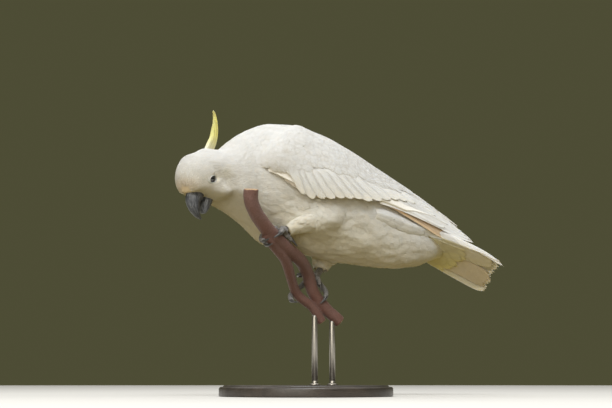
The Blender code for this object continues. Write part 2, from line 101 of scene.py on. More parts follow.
WING = np.array([  # along X, lower edge (out, up), upper edge (out, up), bulge
    (-84, 42, 8, 40, 22, 2.5),
    (-66, 50, 0, 45, 42, 8.5),
    (-30, 58, -14, 34, 74.5, 13),
    (10, 61, -14, 14, 85.5, 19),
    (60, 58, -8, 6, 87.5, 18),
    (110, 50, -3, 4, 84, 15),
    (150, 44, -1, 4, 81.5, 12),
    (190, 39, -1, 5, 74, 9),
    (222, 35, 4, 7, 61.5, 6),
    (243, 31, 12, 12, 46, 4),
    (253, 24, 20, 17, 34, 2),
]) * MM
TAIL_ROOT, TAIL_TIP = 118 * MM, 289 * MM
TAIL_FALL = math.radians(20)
TAIL_SLOPE = math.tan(TAIL_FALL)
TAIL_HALF = (20 * MM, 43 * MM)
TAIL_THICK = (9 * MM, 2.6 * MM)
TAIL_ARCH = 7 * MM
THIGHS = {  # place and radius of each section, from inside the body to the ankle
    "left": ((48, -24, 236, 13), (27, -34, 233, 18.5), (8, -39, 230, 18.5), (-10, -42, 226, 15),
             (-27, -43, 219, 10.5), (-41, -44, 212.5, 6.5)),
    "right": ((50, 22, 220, 22), (43, 25, 204, 22.5), (37, 25, 192, 18.5), (32, 24, 180.5, 13.5),
              (29, 22, 171, 9)),
}


def turns(count):
    """Angles evenly spaced round one full turn."""
    return np.arange(count) * TURN / count


def unit(ways):
    """The same ways, each of length one."""
    return ways / (np.linalg.norm(ways, axis=-1, keepdims=True) + 1e-12)


def lengths_along(line):
    """How far along a line of points each of them lies."""
    return np.concatenate([[0], np.cumsum(np.linalg.norm(np.diff(line, axis=0), axis=1))])


def smooth_rows(rows, at):
    """Rows read between their first column's values, on cubic pieces whose slopes are the mean of
    those on both sides."""
    rows = rows[np.argsort(rows[:, 0])]
    places, values = rows[:, 0], rows[:, 1:]
    slopes = np.gradient(values, places, axis=0)
    at = np.clip(np.atleast_1d(at), places[0], places[-1])
    low = np.clip(np.searchsorted(places, at) - 1, 0, len(places) - 2)
    span = (places[low + 1] - places[low])[:, None]
    t = (at - places[low])[:, None] / span
    return (
        (2 * t**3 - 3 * t**2 + 1) * values[low]
        + (t**3 - 2 * t**2 + t) * span * slopes[low]
        + (3 * t**2 - 2 * t**3) * values[low + 1]
        + (t**3 - t**2) * span * slopes[low + 1]
    )


def through(points, steps):
    """A smooth line through the points, with the given number of steps between neighbours."""
    points = np.asarray(points, dtype=float)
    counted = np.column_stack([np.arange(len(points)), points.reshape(len(points), -1)])
    line = smooth_rows(counted, np.linspace(0, len(points) - 1, (len(points) - 1) * steps + 1))
    return line.reshape(-1, *points.shape[1:])


def evenly(rows, count):
    """Rows of points moved along themselves until they are evenly spaced."""
    places = lengths_along(rows.reshape(len(rows), -1, 3).mean(axis=1))
    flat = np.column_stack([places, rows.reshape(len(rows), -1)])
    return smooth_rows(flat, np.linspace(0, places[-1], count)).reshape(count, *rows.shape[1:])


def axis_height(along):
    """The height of the body's axis, which runs straight down along the tail past the last section."""
    end = BODY[0]
    beyond = end[1] - (along - end[0]) * TAIL_SLOPE
    within = smooth_rows(BODY, np.ravel(along))[:, 0].reshape(np.shape(along))
    return np.where(along > end[0], beyond, within)


def body_turn(along):
    """Cosine and sine of the turn about the body's axis, which eases in from the back to the tail."""
    share = np.clip((along - TWIST_FROM) / (TWIST_TO - TWIST_FROM), 0, 1)
    turn = TWIST * share**2 * (3 - 2 * share)
    return np.cos(turn), np.sin(turn)


def turned_with_body(along, side, height):
    """Points beside and above the body's axis, turned about it as the rump and tail are."""
    cosine, sine = body_turn(along)
    up = axis_height(along) - side * sine + height * cosine
    return np.stack([along, side * cosine + height * sine, up], axis=-1)


def off_axis(points):
    """Beside and above the body's axis, before the turn: turned_with_body the other way."""
    cosine, sine = body_turn(points[..., 0])
    y, z = points[..., 1], points[..., 2] - axis_height(points[..., 0])
    return y * cosine - z * sine, y * sine + z * cosine


def directions(dip, turn):
    """Ahead, to the bird's left, and above, for a head turned to its left and dipped."""
    level = math.cos(dip)
    ahead = np.array((-math.cos(turn) * level, -math.sin(turn) * level, -math.sin(dip)))
    left = np.array((math.sin(turn), -math.cos(turn), 0))
    return ahead, left, np.cross(ahead, left)


HEAD_AXES = np.array(directions(HEAD_DIP, HEAD_TURN))


def in_head(ahead, left, above):
    """Places of the head, given ahead of, to the left of and above its middle."""
    return HEAD + np.stack(np.broadcast_arrays(ahead, left, above), axis=-1) @ HEAD_AXES


def in_head_axes(points):
    """Ahead of, to the left of and above the head's middle: in_head the other way."""
    return (points - HEAD) @ HEAD_AXES.T


def oval(above, below, beside, columns, full=2.0):
    """Side and height round an egg-shaped section, from the bird's right over its back. Its lower
    half is fuller than an ellipse where the power of both shares is over 2."""
    x, y = np.cos(turns(columns)), np.sin(turns(columns))
    out = np.where(y < 0, (np.abs(x) ** full + np.abs(y) ** full) ** (-1 / full), 1.0)
    return beside * x * out, np.where(y > 0, above, below) * y * out


def body_ring(along, columns):
    """The body's section at a place along X."""
    _, above, below, beside = smooth_rows(BODY, along)[0]
    side, height = oval(above, below, beside, columns)
    return turned_with_body(np.full(columns, along), side, height)


def neck_ring(row, columns):
    """The neck's section of one row of the table, square to the way in which its row dips and turns."""
    dip, turn = np.radians(row[3:5])
    side, height = oval(*(row[5:8] * MM), columns, NECK_FULLNESS)
    _, left, up = directions(dip, turn)
    return row[:3] * MM - np.outer(side, left) + np.outer(height, up)


def face_ring(ahead, columns):
    """The head's section at a place ahead of its middle."""
    above, below, beside = smooth_rows(FACE, ahead)[0]
    side, height = oval(above, below, beside, columns, FACE_FULLNESS)
    return in_head(ahead, -side, height)


SWELLS = (  # where the head's feathers stand up or lie close: place, reach, way and amount,
    # each place, reach and way given ahead, to the left and above, in mm
    ((-26, 0, 29), (8, 13, 12), (0, 0, 1), 5.5),
    ((-40, 4, 10), (12, 20, 14), (-0.5, 0, 0.86), -4.0),
    ((9, 29, -33), (14, 15, 12), (0, 1, 0), 12.0),
    ((-7, 32, -40), (12, 15, 12), (0, 1, 0), 7.0),
    ((5, -26, -34), (13, 14, 13), (0.1, -1, 0.1), 4.0),
)


EYE_REACH = 9  # mm round the eye that a swell leaves alone


def swollen(points):
    """Points moved by the amounts above, each falling off as a bell round its place. One bell round
    the left eye's seat keeps the skin there where it was."""
    head = in_head_axes(points) / MM
    eye = np.linalg.norm(head - EYE_SEAT / MM, axis=-1) / EYE_REACH
    free = 1 - np.exp(-0.5 * eye**2)
    for place, reach, way, amount in SWELLS:
        share = free * np.exp(-0.5 * (((head - place) / np.array(reach)) ** 2).sum(axis=-1))
        points = points + share[..., None] * (np.array(way) @ HEAD_AXES) * amount * MM
    return points


# ------------------------------------------------------------------ surfaces

class Sheet:
    """A smooth surface kept as a grid of points, read anywhere by its two parameters from 0 to 1.

    The first parameter runs with the lie of the feathers and the second across it. A reading mixes
    the four nearest points of the grid by their nearness.
    """

    def __init__(self, points, closed, away=None):
        self.closed = closed
        self.points = points
        rows, columns = points.shape[:2]
        along = np.gradient(points, axis=0) * (rows - 1)
        if closed:
            wrapped = np.concatenate([points[:, -1:], points, points[:, :1]], axis=1)
            across = (wrapped[:, 2:] - wrapped[:, :-2]) / 2 * columns
        else:
            across = np.gradient(points, axis=1) * (columns - 1)
        normal = unit(np.cross(along, across))
        outward = points - points.mean(axis=1, keepdims=True) if away is None else np.asarray(away)
        self.normal = normal * np.sign((normal * outward).sum())
        lengths = [np.linalg.norm(part, axis=-1, keepdims=True) for part in (along, across)]
        self.grid = np.concatenate([points, self.normal, *lengths], axis=-1)

    def read(self, s, a):
        """Point, outward normal, and metres per unit of each parameter."""
        rows, columns = self.grid.shape[:2]
        i = np.clip(s, 0, 1) * (rows - 1)
        low = np.minimum(i.astype(int), rows - 2)
        fi = (i - low)[..., None]
        if self.closed:
            j = np.mod(a, 1.0) * columns
            left = np.minimum(j.astype(int), columns - 1)
            right = (left + 1) % columns
        else:
            j = np.clip(a, 0, 1) * (columns - 1)
            left = np.minimum(j.astype(int), columns - 2)
            right = left + 1
        fj = (j - left)[..., None]
        near = self.grid[low, left] * (1 - fj) + self.grid[low, right] * fj
        far = self.grid[low + 1, left] * (1 - fj) + self.grid[low + 1, right] * fj
        mixed = near * (1 - fi) + far * fi
        return mixed[..., :3], mixed[..., 3:6], mixed[..., 6], mixed[..., 7]

    def place(self, s, a, height):
        """Points at a height over the surface."""
        point, normal, _, _ = self.read(s, a)
        return point + normal * np.asarray(height)[..., None]


def tube_frames(line, sides=1):
    """The heading of a line at each of its points, two directions across it that turn with it as
    little as they can, and the ways out from it all round."""
    heading = unit(np.gradient(line, axis=0))
    first = np.cross(heading[0], (0.3, 0.9, 0.1))
    made = []
    for ahead in heading:
        first = unit(first - ahead * (first @ ahead))
        made.append(first)
    across = np.array(made)
    over = np.cross(heading, across)
    angles = turns(sides)[None, :, None]
    return heading, across, over, np.cos(angles) * across[:, None] + np.sin(angles) * over[:, None]


BODY_ROWS, BODY_COLUMNS = 460, 168


def body_sheet():
    """The body's outer surface, rows from the face to the tail coverts."""
    rings = [face_ring(x, BODY_COLUMNS) for x in FACE_STATIONS[::-1]]
    neck = [face_ring(x, BODY_COLUMNS) for x in FACE[1::-1, 0]]
    neck += [neck_ring(row, BODY_COLUMNS) for row in NECK[::-1]]
    neck += [body_ring(x, BODY_COLUMNS) for x in (-62 * MM, -27 * MM)]
    rings += list(through(neck, 2)[2:-2])
    rings += [body_ring(x, BODY_COLUMNS) for x in BODY_STATIONS[-2::-1]]
    return Sheet(swollen(evenly(through(rings, 6), BODY_ROWS)), True)


WING_REACH = (-1.25, 1.15)  # how far the wing's sheet is carried, where its edges are at -1 and 1


def wing_stands(bulge, share):
    """How far a wing stands out between its edges: its bulge times one less a power of the share."""
    return bulge * (1 - np.abs(share) ** 2.4)


def wing_section(along, share, stands=None):
    """Outward and upward places of a folded wing's face, at places along X by shares of its height."""
    low_out, low_up, top_out, top_up, bulge = smooth_rows(WING, along).T[:, :, None]
    rise_out, rise_up = (top_out - low_out) / 2, (top_up - low_up) / 2
    size = np.hypot(rise_out, rise_up)
    stands = wing_stands(bulge, share) if stands is None else stands
    out = (low_out + top_out) / 2 + share * rise_out + stands * rise_up / size
    up = (low_up + top_up) / 2 + share * rise_up - stands * rise_out / size
    return out, up


def wing_sheet(side):
    """The outer face of a folded wing, rows from its front to its tip, columns from below its lower
    edge to above its upper one. side is -1 on the bird's left and 1 on its right."""
    along = np.linspace(WING[0, 0], WING[-1, 0], 150)
    out, up = wing_section(along, np.linspace(*WING_REACH, 73))
    points = turned_with_body(np.broadcast_to(along[:, None], out.shape), side * out, up)
    return Sheet(points, False, away=(0, side, 0.2))


def saddle_sheet():
    """The back between both folded wings, rows from its middle to the wings' tips, columns from
    high on the left wing over the ridge to high on the right one."""
    along = np.linspace(55 * MM, 236 * MM, 90)
    ridge = np.maximum(smooth_rows(WING, along)[:, 3], smooth_rows(BODY, along)[:, 1]) + 0.6 * MM
    knots = []
    for side, share in ((-1, 0.5), (-1, 0.75), (0, 0), (1, 0.75), (1, 0.5)):
        out, up = wing_section(along, np.array([share]))
        knots.append(np.stack([side * out[:, 0], up[:, 0] if side else ridge], axis=-1))
    side, up = np.moveaxis(through(np.array(knots), 9), -1, 0)
    points = turned_with_body(np.broadcast_to(along, side.shape), side, up)
    return Sheet(np.moveaxis(points, 0, 1), False, away=(0, 0, 1))


def wing_place(along, share):
    """The wing sheet's parameters for a place along X and a share from its lower to its upper edge."""
    first, last = WING[0, 0], WING[-1, 0]
    low, high = WING_REACH
    return (np.asarray(along) - first) / (last - first), (np.asarray(share) - low) / (high - low)


def blurred(values, axis, weights):
    """Each value mixed with those beside it along an axis, by the weights."""
    half = len(weights) // 2
    return sum(weight * np.roll(values, step, axis)
               for weight, step in zip(weights / weights.sum(), range(-half, half + 1)))


def cape_sheet(body):
    """The body's surface raised over the folded wings, so that the feathers of neck and shoulders
    run on over the wings' edges. The lift is the distance from the body's axis to the wing's face
    less that to the body, at equal bearings, and it fades over some 11 mm beyond the edges."""
    stations, steps = 160, 120
    along = np.linspace(WING[0, 0], WING[-1, 0], stations)
    out, up = wing_section(along, np.linspace(-1, 1, 81))
    bearings = np.linspace(-0.6, math.pi / 2, steps)
    reach = np.array([np.interp(bearings, bearing, distance, left=0, right=distance[-1])
                      for bearing, distance in zip(np.arctan2(up, out), np.hypot(out, up))])
    side, height = off_axis(body.points)
    i = (body.points[..., 0] - along[0]) / (along[1] - along[0])
    j = (np.arctan2(height, np.abs(side)) - bearings[0]) / (bearings[1] - bearings[0])
    inside = (i >= 0) & (i < stations - 1) & (j >= 0)
    i, j = np.clip(i, 0, stations - 1).astype(int), np.clip(np.rint(j), 0, steps - 1).astype(int)
    lift = np.clip(np.where(inside, reach[i, j] - np.hypot(side, height), 0), 0, None)
    soft = blurred(blurred(lift, 0, np.hanning(35)[1:-1]), 1, np.hanning(13)[1:-1])
    lift = np.maximum(soft, lift)
    lift = lift + 0.5 * MM * np.clip(lift / MM, 0, 1)
    return Sheet(body.points + body.normal * lift[..., None], True)


def thigh_sheet(side):
    """A leg's plumage as a tube of round sections."""
    rows = through(np.array(THIGHS[side]) * MM, 12)
    *_, ring = tube_frames(rows[:, :3], 64)
    return Sheet(rows[:, None, :3] + ring * rows[:, 3, None, None], True)


def tail_sheet(face, long=1.0, wide=1.0):
    """The upper face of the tail fan where face is 1, its under face where it is -1, and its middle
    surface where it is 0, rows from its root to its tip. long and wide carry it past its edges."""
    share = np.linspace(0, long, 60)[:, None]
    across = np.linspace(-wide, wide, 61)[None, :]
    along = TAIL_ROOT + (TAIL_TIP - TAIL_ROOT) * share + 0 * across
    half = TAIL_HALF[0] + (TAIL_HALF[1] - TAIL_HALF[0]) * share
    thick = TAIL_THICK[0] + (TAIL_THICK[1] - TAIL_THICK[0]) * share
    height = TAIL_ARCH * share * (0.5 - across**2) + face * thick / 2
    return Sheet(turned_with_body(along, across * half, height), False, away=(0, 0, face or 1))


# ------------------------------------------------------------------ meshes

def make_mesh(name, points, quads, triangles=None, corners=None, colours=None, sharp=None):
    """A mesh object from whole arrays. corners maps a UV map's name to one pair for each corner of
    each face, colours maps an attribute's name to one colour for each point."""
    triangles = np.zeros((0, 3), int) if triangles is None else np.asarray(triangles)
    quads = np.asarray(quads).reshape(-1, 4)
    mesh = bpy.data.meshes.new(name)
    mesh.vertices.add(len(points))
    mesh.vertices.foreach_set("co", np.asarray(points, np.float32).ravel())
    loops = np.concatenate([quads.ravel(), triangles.ravel()]).astype(np.int32)
    totals = np.concatenate([np.full(len(quads), 4), np.full(len(triangles), 3)]).astype(np.int32)
    starts = np.concatenate([[0], np.cumsum(totals)[:-1]]).astype(np.int32)
    mesh.loops.add(len(loops))
    mesh.loops.foreach_set("vertex_index", loops)
    mesh.polygons.add(len(totals))
    mesh.polygons.foreach_set("loop_start", starts)
    mesh.polygons.foreach_set("use_smooth", np.ones(len(totals), bool))
    mesh.update(calc_edges=True)
    for key, pairs in (corners or {}).items():
        layer = mesh.uv_layers.new(name=key)
        pairs = np.asarray(pairs, np.float32)
        if len(pairs) == len(points):
            pairs = pairs[loops]
        layer.uv.foreach_set("vector", pairs.ravel())
    for key, values in (colours or {}).items():
        layer = mesh.color_attributes.new(name=key, type="FLOAT_COLOR", domain="POINT")
        opaque = np.column_stack([values, np.ones(len(values))]).astype(np.float32)
        layer.data.foreach_set("color", opaque.ravel())
    if sharp is not None:
        ends = np.empty(len(mesh.edges) * 2, np.int32)
        mesh.edges.foreach_get("vertices", ends)
        on_rim = sharp[ends.reshape(-1, 2)].all(axis=1)
        layer = mesh.attributes.new("sharp_edge", "BOOLEAN", "EDGE")
        layer.data.foreach_set("value", on_rim)
    mesh.validate(clean_customdata=False)
    item = bpy.data.objects.new(name, mesh)
    bpy.context.scene.collection.objects.link(item)
    return item


def grid_faces(rows, columns, closed, flip=False):
    """Quads of a grid, and the parameters of each corner."""
    last = columns if closed else columns - 1
    i, j = np.meshgrid(np.arange(rows - 1), np.arange(last), indexing="ij")
    i, j = i.ravel(), j.ravel()
    corners = [(i, j), (i, j + 1), (i + 1, j + 1), (i + 1, j)]
    if flip:
        corners = corners[::-1]
    quads = np.stack([r * columns + c % columns for r, c in corners], axis=1)
    pairs = np.stack([np.stack([r / (rows - 1), c / last], axis=-1) for r, c in corners], axis=1)
    return quads, pairs.reshape(-1, 2)


def quad_ways(points, quads):
    """The way in which each quad faces."""
    first, second, _, last = np.moveaxis(points[quads], 1, 0)
    return np.cross(second - first, last - first)


def skin_over(*grids):
    """A closed mesh over tubes given as rings of points, with a fan over each end. A tube's faces
    are turned outwards, away from the middles of its rings."""
    points, quads, triangles, pairs = [], [], [], []
    start = 0
    for grid in grids:
        rows, columns = grid.shape[:2]
        normal = np.cross(np.gradient(grid, axis=0), np.gradient(grid, axis=1))
        flip = (normal * (grid - grid.mean(axis=1, keepdims=True))).sum() > 0
        faces, corners = grid_faces(rows, columns, True, flip)
        quads.append(faces + start)
        pairs.append(corners)
        points += [grid.reshape(-1, 3), grid[[0, -1]].mean(axis=1)]
        ring = np.arange(columns)
        beyond, last = np.roll(ring, -1), (rows - 1) * columns
        near = np.stack([ring, beyond, np.full(columns, rows * columns)], axis=1)
        far = np.stack([last + beyond, last + ring, np.full(columns, rows * columns + 1)], axis=1)
        caps = np.concatenate([near, far])
        triangles.append((caps if flip else caps[:, ::-1]) + start)
        start += rows * columns + 2
    return tuple(np.concatenate(part) for part in (points, quads, triangles, pairs))


def dress(item, finish):
    """Gives a piece its finish, and lets it ride on the row's one body."""
    item.data.materials.append(finish)
    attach(item, "root")
    return item


# ------------------------------------------------------------------ vanes

class Leaf:
    """The shape shared by like vanes: a grid of stations along it and across it, closed below.

    Its half width grows from the root and rounds off at the tip, as the root of one less a power of
    the distance past its widest place.
    """

    def __init__(self, stations, across, root=0.4, widest=0.55, point=2.2, tip=0.16):
        t = np.sin(np.linspace(0, 1, stations) * math.pi / 2)
        w = np.linspace(-1, 1, across)
        swell = root + (1 - root) * np.sin(np.clip(t / widest, 0, 1) * math.pi / 2)
        past = np.clip((t - widest) / (1 - widest), 0, 1)
        outline = swell * np.maximum(np.sqrt(1 - past**point), tip)
        self.t, self.w = (part.ravel() for part in np.meshgrid(t, w, indexing="ij"))
        self.outline = np.repeat(outline, across)
        i, j = np.divmod(np.arange(stations * across), across)
        self.rim = (i == 0) | (i == stations - 1) | (j == 0) | (j == across - 1)
        inner = np.flatnonzero(~self.rim)
        under = np.arange(stations * across)
        under[inner] = stations * across + np.arange(len(inner))
        top, _ = grid_faces(stations, across, False)
        self.quads = np.concatenate([top[:, ::-1], under[top]])
        self.t, self.w, self.outline = (
            np.concatenate([part, part[inner]]) for part in (self.t, self.w, self.outline))
        self.below = np.concatenate([np.zeros(stations * across), np.ones(len(inner))])
        self.rim = np.concatenate([self.rim, np.zeros(len(inner), bool)])
        self.strand = np.concatenate([j, j[inner]])
        self.across = across


def column(value, count):
    """One value, or one for each vane, as a column."""
    return np.broadcast_to(np.asarray(value, dtype=float), (count,))[:, None]


TUCK_FROM = 0.55  # share of a vane's length past which it is tucked down


def lay_vanes(sheet, leaf, s, a, length, width, heading=0.0, sink=-2 * MM, rise=0.0, dome=0.1,
              thick=0.25 * MM, roll=0.0, fray=None, spring=1.0, tuck=0.0, relief=0.0):
    """Vanes laid on a sheet from their roots at (s, a).

    A vane's own length and width are turned by its heading and divided by the sheet's metres per
    parameter, so it follows the sheet. Its height goes from the sink at its root to the rise at its
    tip with the power spring of the distance, less a dome that falls with the square of the
    distance from its shaft, and less the tuck over its last part, which closes it on the next row.
    Dome and roll grow from the root with the power relief of the distance.
    """
    count = len(s)
    s, a, length, width, heading, sink, rise, roll, tuck = (
        column(part, count) for part in (s, a, length, width, heading, sink, rise, roll, tuck))
    t = leaf.t[None, :]
    if fray is not None:
        t = t * (1 + fray[:, leaf.strand] * leaf.t[None, :] ** 3)
    beside = (leaf.w * leaf.outline)[None, :]
    side = beside * width / 2
    _, _, per_s, per_a = sheet.read(s, a)
    shaft_s = s + length * t * np.cos(heading) / per_s
    shaft_a = a + length * t * np.sin(heading) / per_a
    _, _, _, per_a = sheet.read(shaft_s, shaft_a)
    grown = np.clip(t, 0, 1) ** relief
    closing = np.clip((t - TUCK_FROM) / (1 - TUCK_FROM), 0, 1) ** 2
    height = sink + (rise - sink) * t**spring - tuck * closing - leaf.below[None, :] * thick
    height = height + grown * (roll * side - dome * width * beside**2)
    return sheet.place(shaft_s - side * np.sin(heading) / per_s,
                       shaft_a + side * np.cos(heading) / per_a, height)


class Coat:
    """Vanes gathered into one piece, with each one's place on the unwrap of its sheet and its tint.
    The unwrap is the sheet's own two parameters, stretched so that the piece fills it."""

    PATCH, EDGE = 0.003, 0.004  # size of a vane's own patch on the unwrap, and the margin round all

    def __init__(self):
        self.points, self.quads, self.roots, self.patches = [], [], [], []
        self.vanes, self.tints, self.rims = [], [], []
        self.size = 0

    def add(self, points, leaf, u, v, tint, length, width):
        """points are vanes by vertices; u and v are each root's place from 0 to 1. Each vane's own
        places, for its barbs, are in centimetres from the root of its shaft."""
        count, each = points.shape[:2]
        starts = self.size + np.arange(count) * each
        corners = points[:, leaf.quads] - points.mean(axis=1)[:, None, None]
        facing = np.cross(corners[..., 2, :] - corners[..., 0, :], corners[..., 3, :] - corners[..., 1, :])
        outwards = (facing * corners.mean(axis=-2)).sum() > 0
        quads = leaf.quads if outwards else leaf.quads[:, ::-1]
        self.quads.append((starts[:, None, None] + quads[None]).reshape(-1, 4))
        self.points.append(points.reshape(-1, 3))
        root = np.stack([np.asarray(u), np.asarray(v)], axis=-1)
        self.roots.append(np.repeat(root, each, axis=0))
        patch = np.column_stack([leaf.w / 2, leaf.t - 0.5]) * self.PATCH
        self.patches.append(np.tile(patch, (count, 1)))
        beside = leaf.w * leaf.outline * column(width, count) / 2
        vane = np.stack([beside, leaf.t * column(length, count)], axis=-1) * 100
        self.vanes.append(vane.reshape(-1, 2))
        self.tints.append(np.broadcast_to(tint, (count, each, 3)).reshape(-1, 3))
        self.rims.append(np.tile(leaf.rim, count))
        self.size += count * each

    def make(self, name, finish, slot="plumage"):
        """The piece, with sharp edges along the rims of its vanes."""
        roots = np.concatenate(self.roots)
        low, high = roots.min(axis=0), roots.max(axis=0)
        places = self.EDGE + (1 - 2 * self.EDGE) * (roots - low) / np.maximum(high - low, 1e-6)
        places = places + np.concatenate(self.patches)
        item = make_mesh(
            name, np.concatenate(self.points), np.concatenate(self.quads),
            corners={"OFBake": places, "Vane": np.concatenate(self.vanes)},
            colours={"tint": np.concatenate(self.tints)}, sharp=np.concatenate(self.rims))
        return dress(item, finish)


# ------------------------------------------------------------------ finishes

def set_stops(ramp, stops):
    """Gives a ramp its stops, each a position and a grey or a colour."""
    points = ramp.color_ramp.elements
    while len(points) < len(stops):
        points.new(0.5)
    for point, (position, colour) in zip(points, stops):
        point.position = position
        point.color = (*(colour if hasattr(colour, "__len__") else (colour,) * 3), 1)


class Finish:
    """A material put together around one Principled shader, whose constant values sit on it."""

    def __init__(self, name, **settings):
        self.material = bpy.data.materials.new(name)
        self.material.use_nodes = True
        self.tree = self.material.node_tree
        self.shader = self.tree.nodes["Principled BSDF"]
        for key, value in settings.items():
            self.shader.inputs[key.replace("_", " ")].default_value = value

    def node(self, kind, inputs=None, **settings):
        """A new node. Its inputs are linked to where they are sockets, and set where not."""
        made = self.tree.nodes.new("ShaderNode" + kind)
        for key, value in settings.items():
            setattr(made, key, value)
        for key, value in (inputs or {}).items():
            if isinstance(value, bpy.types.NodeSocket):
                self.tree.links.new(value, made.inputs[key])
            else:
                made.inputs[key].default_value = value
        return made

    def link(self, output, name):
        """Sends a value to one of the shader's sockets."""
        self.tree.links.new(output, self.shader.inputs[name])

    def where(self, scale=(1, 1, 1), uv=None):
        """Places on the object, or on one of its UV maps, stretched by the scale."""
        maps = self.node("UVMap", uv_map=uv) if uv else self.node("TexCoord")
        source = maps.outputs["UV" if uv else "Object"]
        return self.node("Mapping", {"Vector": source, "Scale": scale}).outputs[0]

    def attribute(self, name, output="Fac"):
        """What the mesh carries under a name."""
        return self.node("Attribute", attribute_name=name).outputs[output]

    def noise(self, at, scale, detail=3.0, rough=0.5, distortion=0.0):
        """Cloudy noise from 0 to 1 at places."""
        inputs = {"Vector": at, "Scale": scale, "Detail": detail, "Roughness": rough,
                  "Distortion": distortion}
        return self.node("TexNoise", inputs).outputs["Fac"]

    def ramp(self, value, *stops):
        """The value sent through stops, each a position and a grey or a colour."""
        made = self.node("ValToRGB", {"Fac": value})
        set_stops(made, stops)
        return made.outputs["Color"]

    def mix(self, share, one, other, blend="MIX"):
        """One colour with a share of the other."""
        made = self.node("Mix", data_type="RGBA", blend_type=blend)
        for socket, value in ((made.inputs[0], share), (made.inputs[6], one), (made.inputs[7], other)):
            if isinstance(value, bpy.types.NodeSocket):
                self.tree.links.new(value, socket)
            else:
                socket.default_value = value if socket == made.inputs[0] else (*value, 1)
        return made.outputs[2]

    def sum(self, kind, one, other=0.0):
        """A step of arithmetic on one or two values."""
        return self.node("Math", {0: one, 1: other}, operation=kind).outputs[0]

    def bump(self, height, depth, strength, before=None):
        """Relief of a depth in metres, laid over the relief before it."""
        inputs = {"Height": height, "Distance": depth, "Strength": strength}
        if before is not None:
            inputs["Normal"] = before
        return self.node("Bump", inputs).outputs["Normal"]

    def colour(self, output):
        """Sends a colour to the shader."""
        self.link(output, "Base Color")

    def blend(self, value, low, high, one, other):
        """One colour where the value is under low, the other where it is over high."""
        return self.mix(self.ramp(value, (low, 0.0), (high, 1.0)), one, other)


def times(colour, factor):
    """A colour made darker or lighter."""
    return tuple(part * factor for part in colour)


def plumage_finish(name, barbs=0.35):
    """Feather tinted by each vane's colour, painted shade or light included, with barbs that slope back from
    its shaft.
    """
    made = Finish(name, Roughness=0.72, Sheen_Weight=0.12, Sheen_Roughness=0.5, Specular_IOR_Level=0.3,
                  Subsurface_Weight=0.4, Subsurface_Radius=(1.0, 0.82, 0.6), Subsurface_Scale=0.004)
    tint = made.attribute("tint", "Color")
    vane = made.node("SeparateXYZ", {0: made.node("UVMap", uv_map="Vane").outputs[0]})
    beside = made.sum("ABSOLUTE", vane.outputs[0])
    slope = made.sum("SUBTRACT", vane.outputs[1], made.sum("MULTIPLY", beside, 1.1))
    strands = made.sum("SINE", made.sum("MULTIPLY", slope, 70.0))
    split = made.noise(made.where((14, 1.2, 1), uv="Vane"), 2.2, 2.0)
    shaft = made.node("MapRange", {"Value": beside, 1: 0.0, 2: 0.05, 3: 1.0, 4: 0.0}).outputs[0]
    soft = made.noise(made.where(), 90.0, 3.0)
    shade = made.ramp(soft, (0.3, 0.93), (0.7, 1.0))
    lines = made.ramp(split, (0.35, 0.95), (0.6, 1.0))
    made.colour(made.mix(1.0, made.mix(1.0, tint, shade, "MULTIPLY"), lines, "MULTIPLY"))
    relief = made.bump(strands, 0.00006, barbs)
    relief = made.bump(split, 0.0005, barbs, relief)
    made.link(made.bump(shaft, 0.0003, 0.5, relief), "Normal")
    return made.material


def skin_finish():
    """Short down in the plumage's colour, painted shade included."""
    made = Finish("skin_under_down", Roughness=0.8, Sheen_Weight=0.1)
    tint = made.attribute("tint", "Color")
    down = made.noise(made.where(), 420.0, 4.0, 0.7)
    made.colour(made.mix(1.0, tint, made.ramp(down, (0.3, 0.88), (0.7, 1.0)), "MULTIPLY"))
    made.link(made.bump(down, 0.0006, 0.5), "Normal")
    return made.material


def bill_finish(colour):
    """Dark horn under a dusty bloom that is worn away in streaks down the bill."""
    made = Finish("bill_horn", Roughness=0.42, Specular_IOR_Level=0.5)
    streaks = made.noise(made.where((9, 1.2, 1), uv="Bill"), 3.0, 5.0, 0.65)
    cloud = made.noise(made.where(), 170.0, 4.0, 0.6)
    worn = made.ramp(streaks, (0.45, 0.0), (0.62, 1.0))
    dust = made.sum("MULTIPLY", worn, made.ramp(cloud, (0.38, 0.15), (0.6, 1.0)))
    pale = tuple(part * 4.0 + 0.07 for part in colour)
    made.colour(made.mix(dust, colour, pale))
    made.link(made.ramp(dust, (0.0, 0.36), (1.0, 0.7)), "Roughness")
    relief = made.bump(streaks, 0.0004, 0.5)
    made.link(made.bump(made.noise(made.where(), 900.0, 2.0), 0.0001, 0.4, relief), "Normal")
    return made.material


def claw_finish():
    """Black horn with greyer clouds."""
    made = Finish("claw_horn", Roughness=0.3, Coat_Weight=0.15)
    cloud = made.noise(made.where(), 260.0, 4.0, 0.6)
    made.colour(made.ramp(cloud, (0.3, (0.018, 0.017, 0.018)), (0.75, (0.085, 0.08, 0.078))))
    made.link(made.bump(made.noise(made.where((3, 3, 1)), 300.0, 2.0), 0.0002, 0.4), "Normal")
    return made.material


def foot_finish(colour):
    """Grey scaly skin with pale mealy creases between the scales."""
    made = Finish("foot_skin", Roughness=0.62, Specular_IOR_Level=0.4)
    at = made.where(uv="Scales")
    inputs = {"Vector": at, "Scale": 1.0, "Randomness": 0.75}
    edge = made.node("TexVoronoi", inputs, feature="DISTANCE_TO_EDGE").outputs["Distance"]
    crease = made.ramp(edge, (0.0, 1.0), (0.16, 0.0))
    cloud = made.noise(made.where(), 240.0, 4.0, 0.6)
    plain = made.ramp(cloud, (0.3, times(colour, 0.45)), (0.55, colour), (0.8, times(colour, 2.0)))
    made.colour(made.mix(made.sum("MULTIPLY", crease, 0.55), plain, times(colour, 2.6)))
    height = made.ramp(edge, (0.0, 0.0), (0.2, 1.0))
    made.link(made.bump(height, 0.0007, 0.9), "Normal")
    return made.material


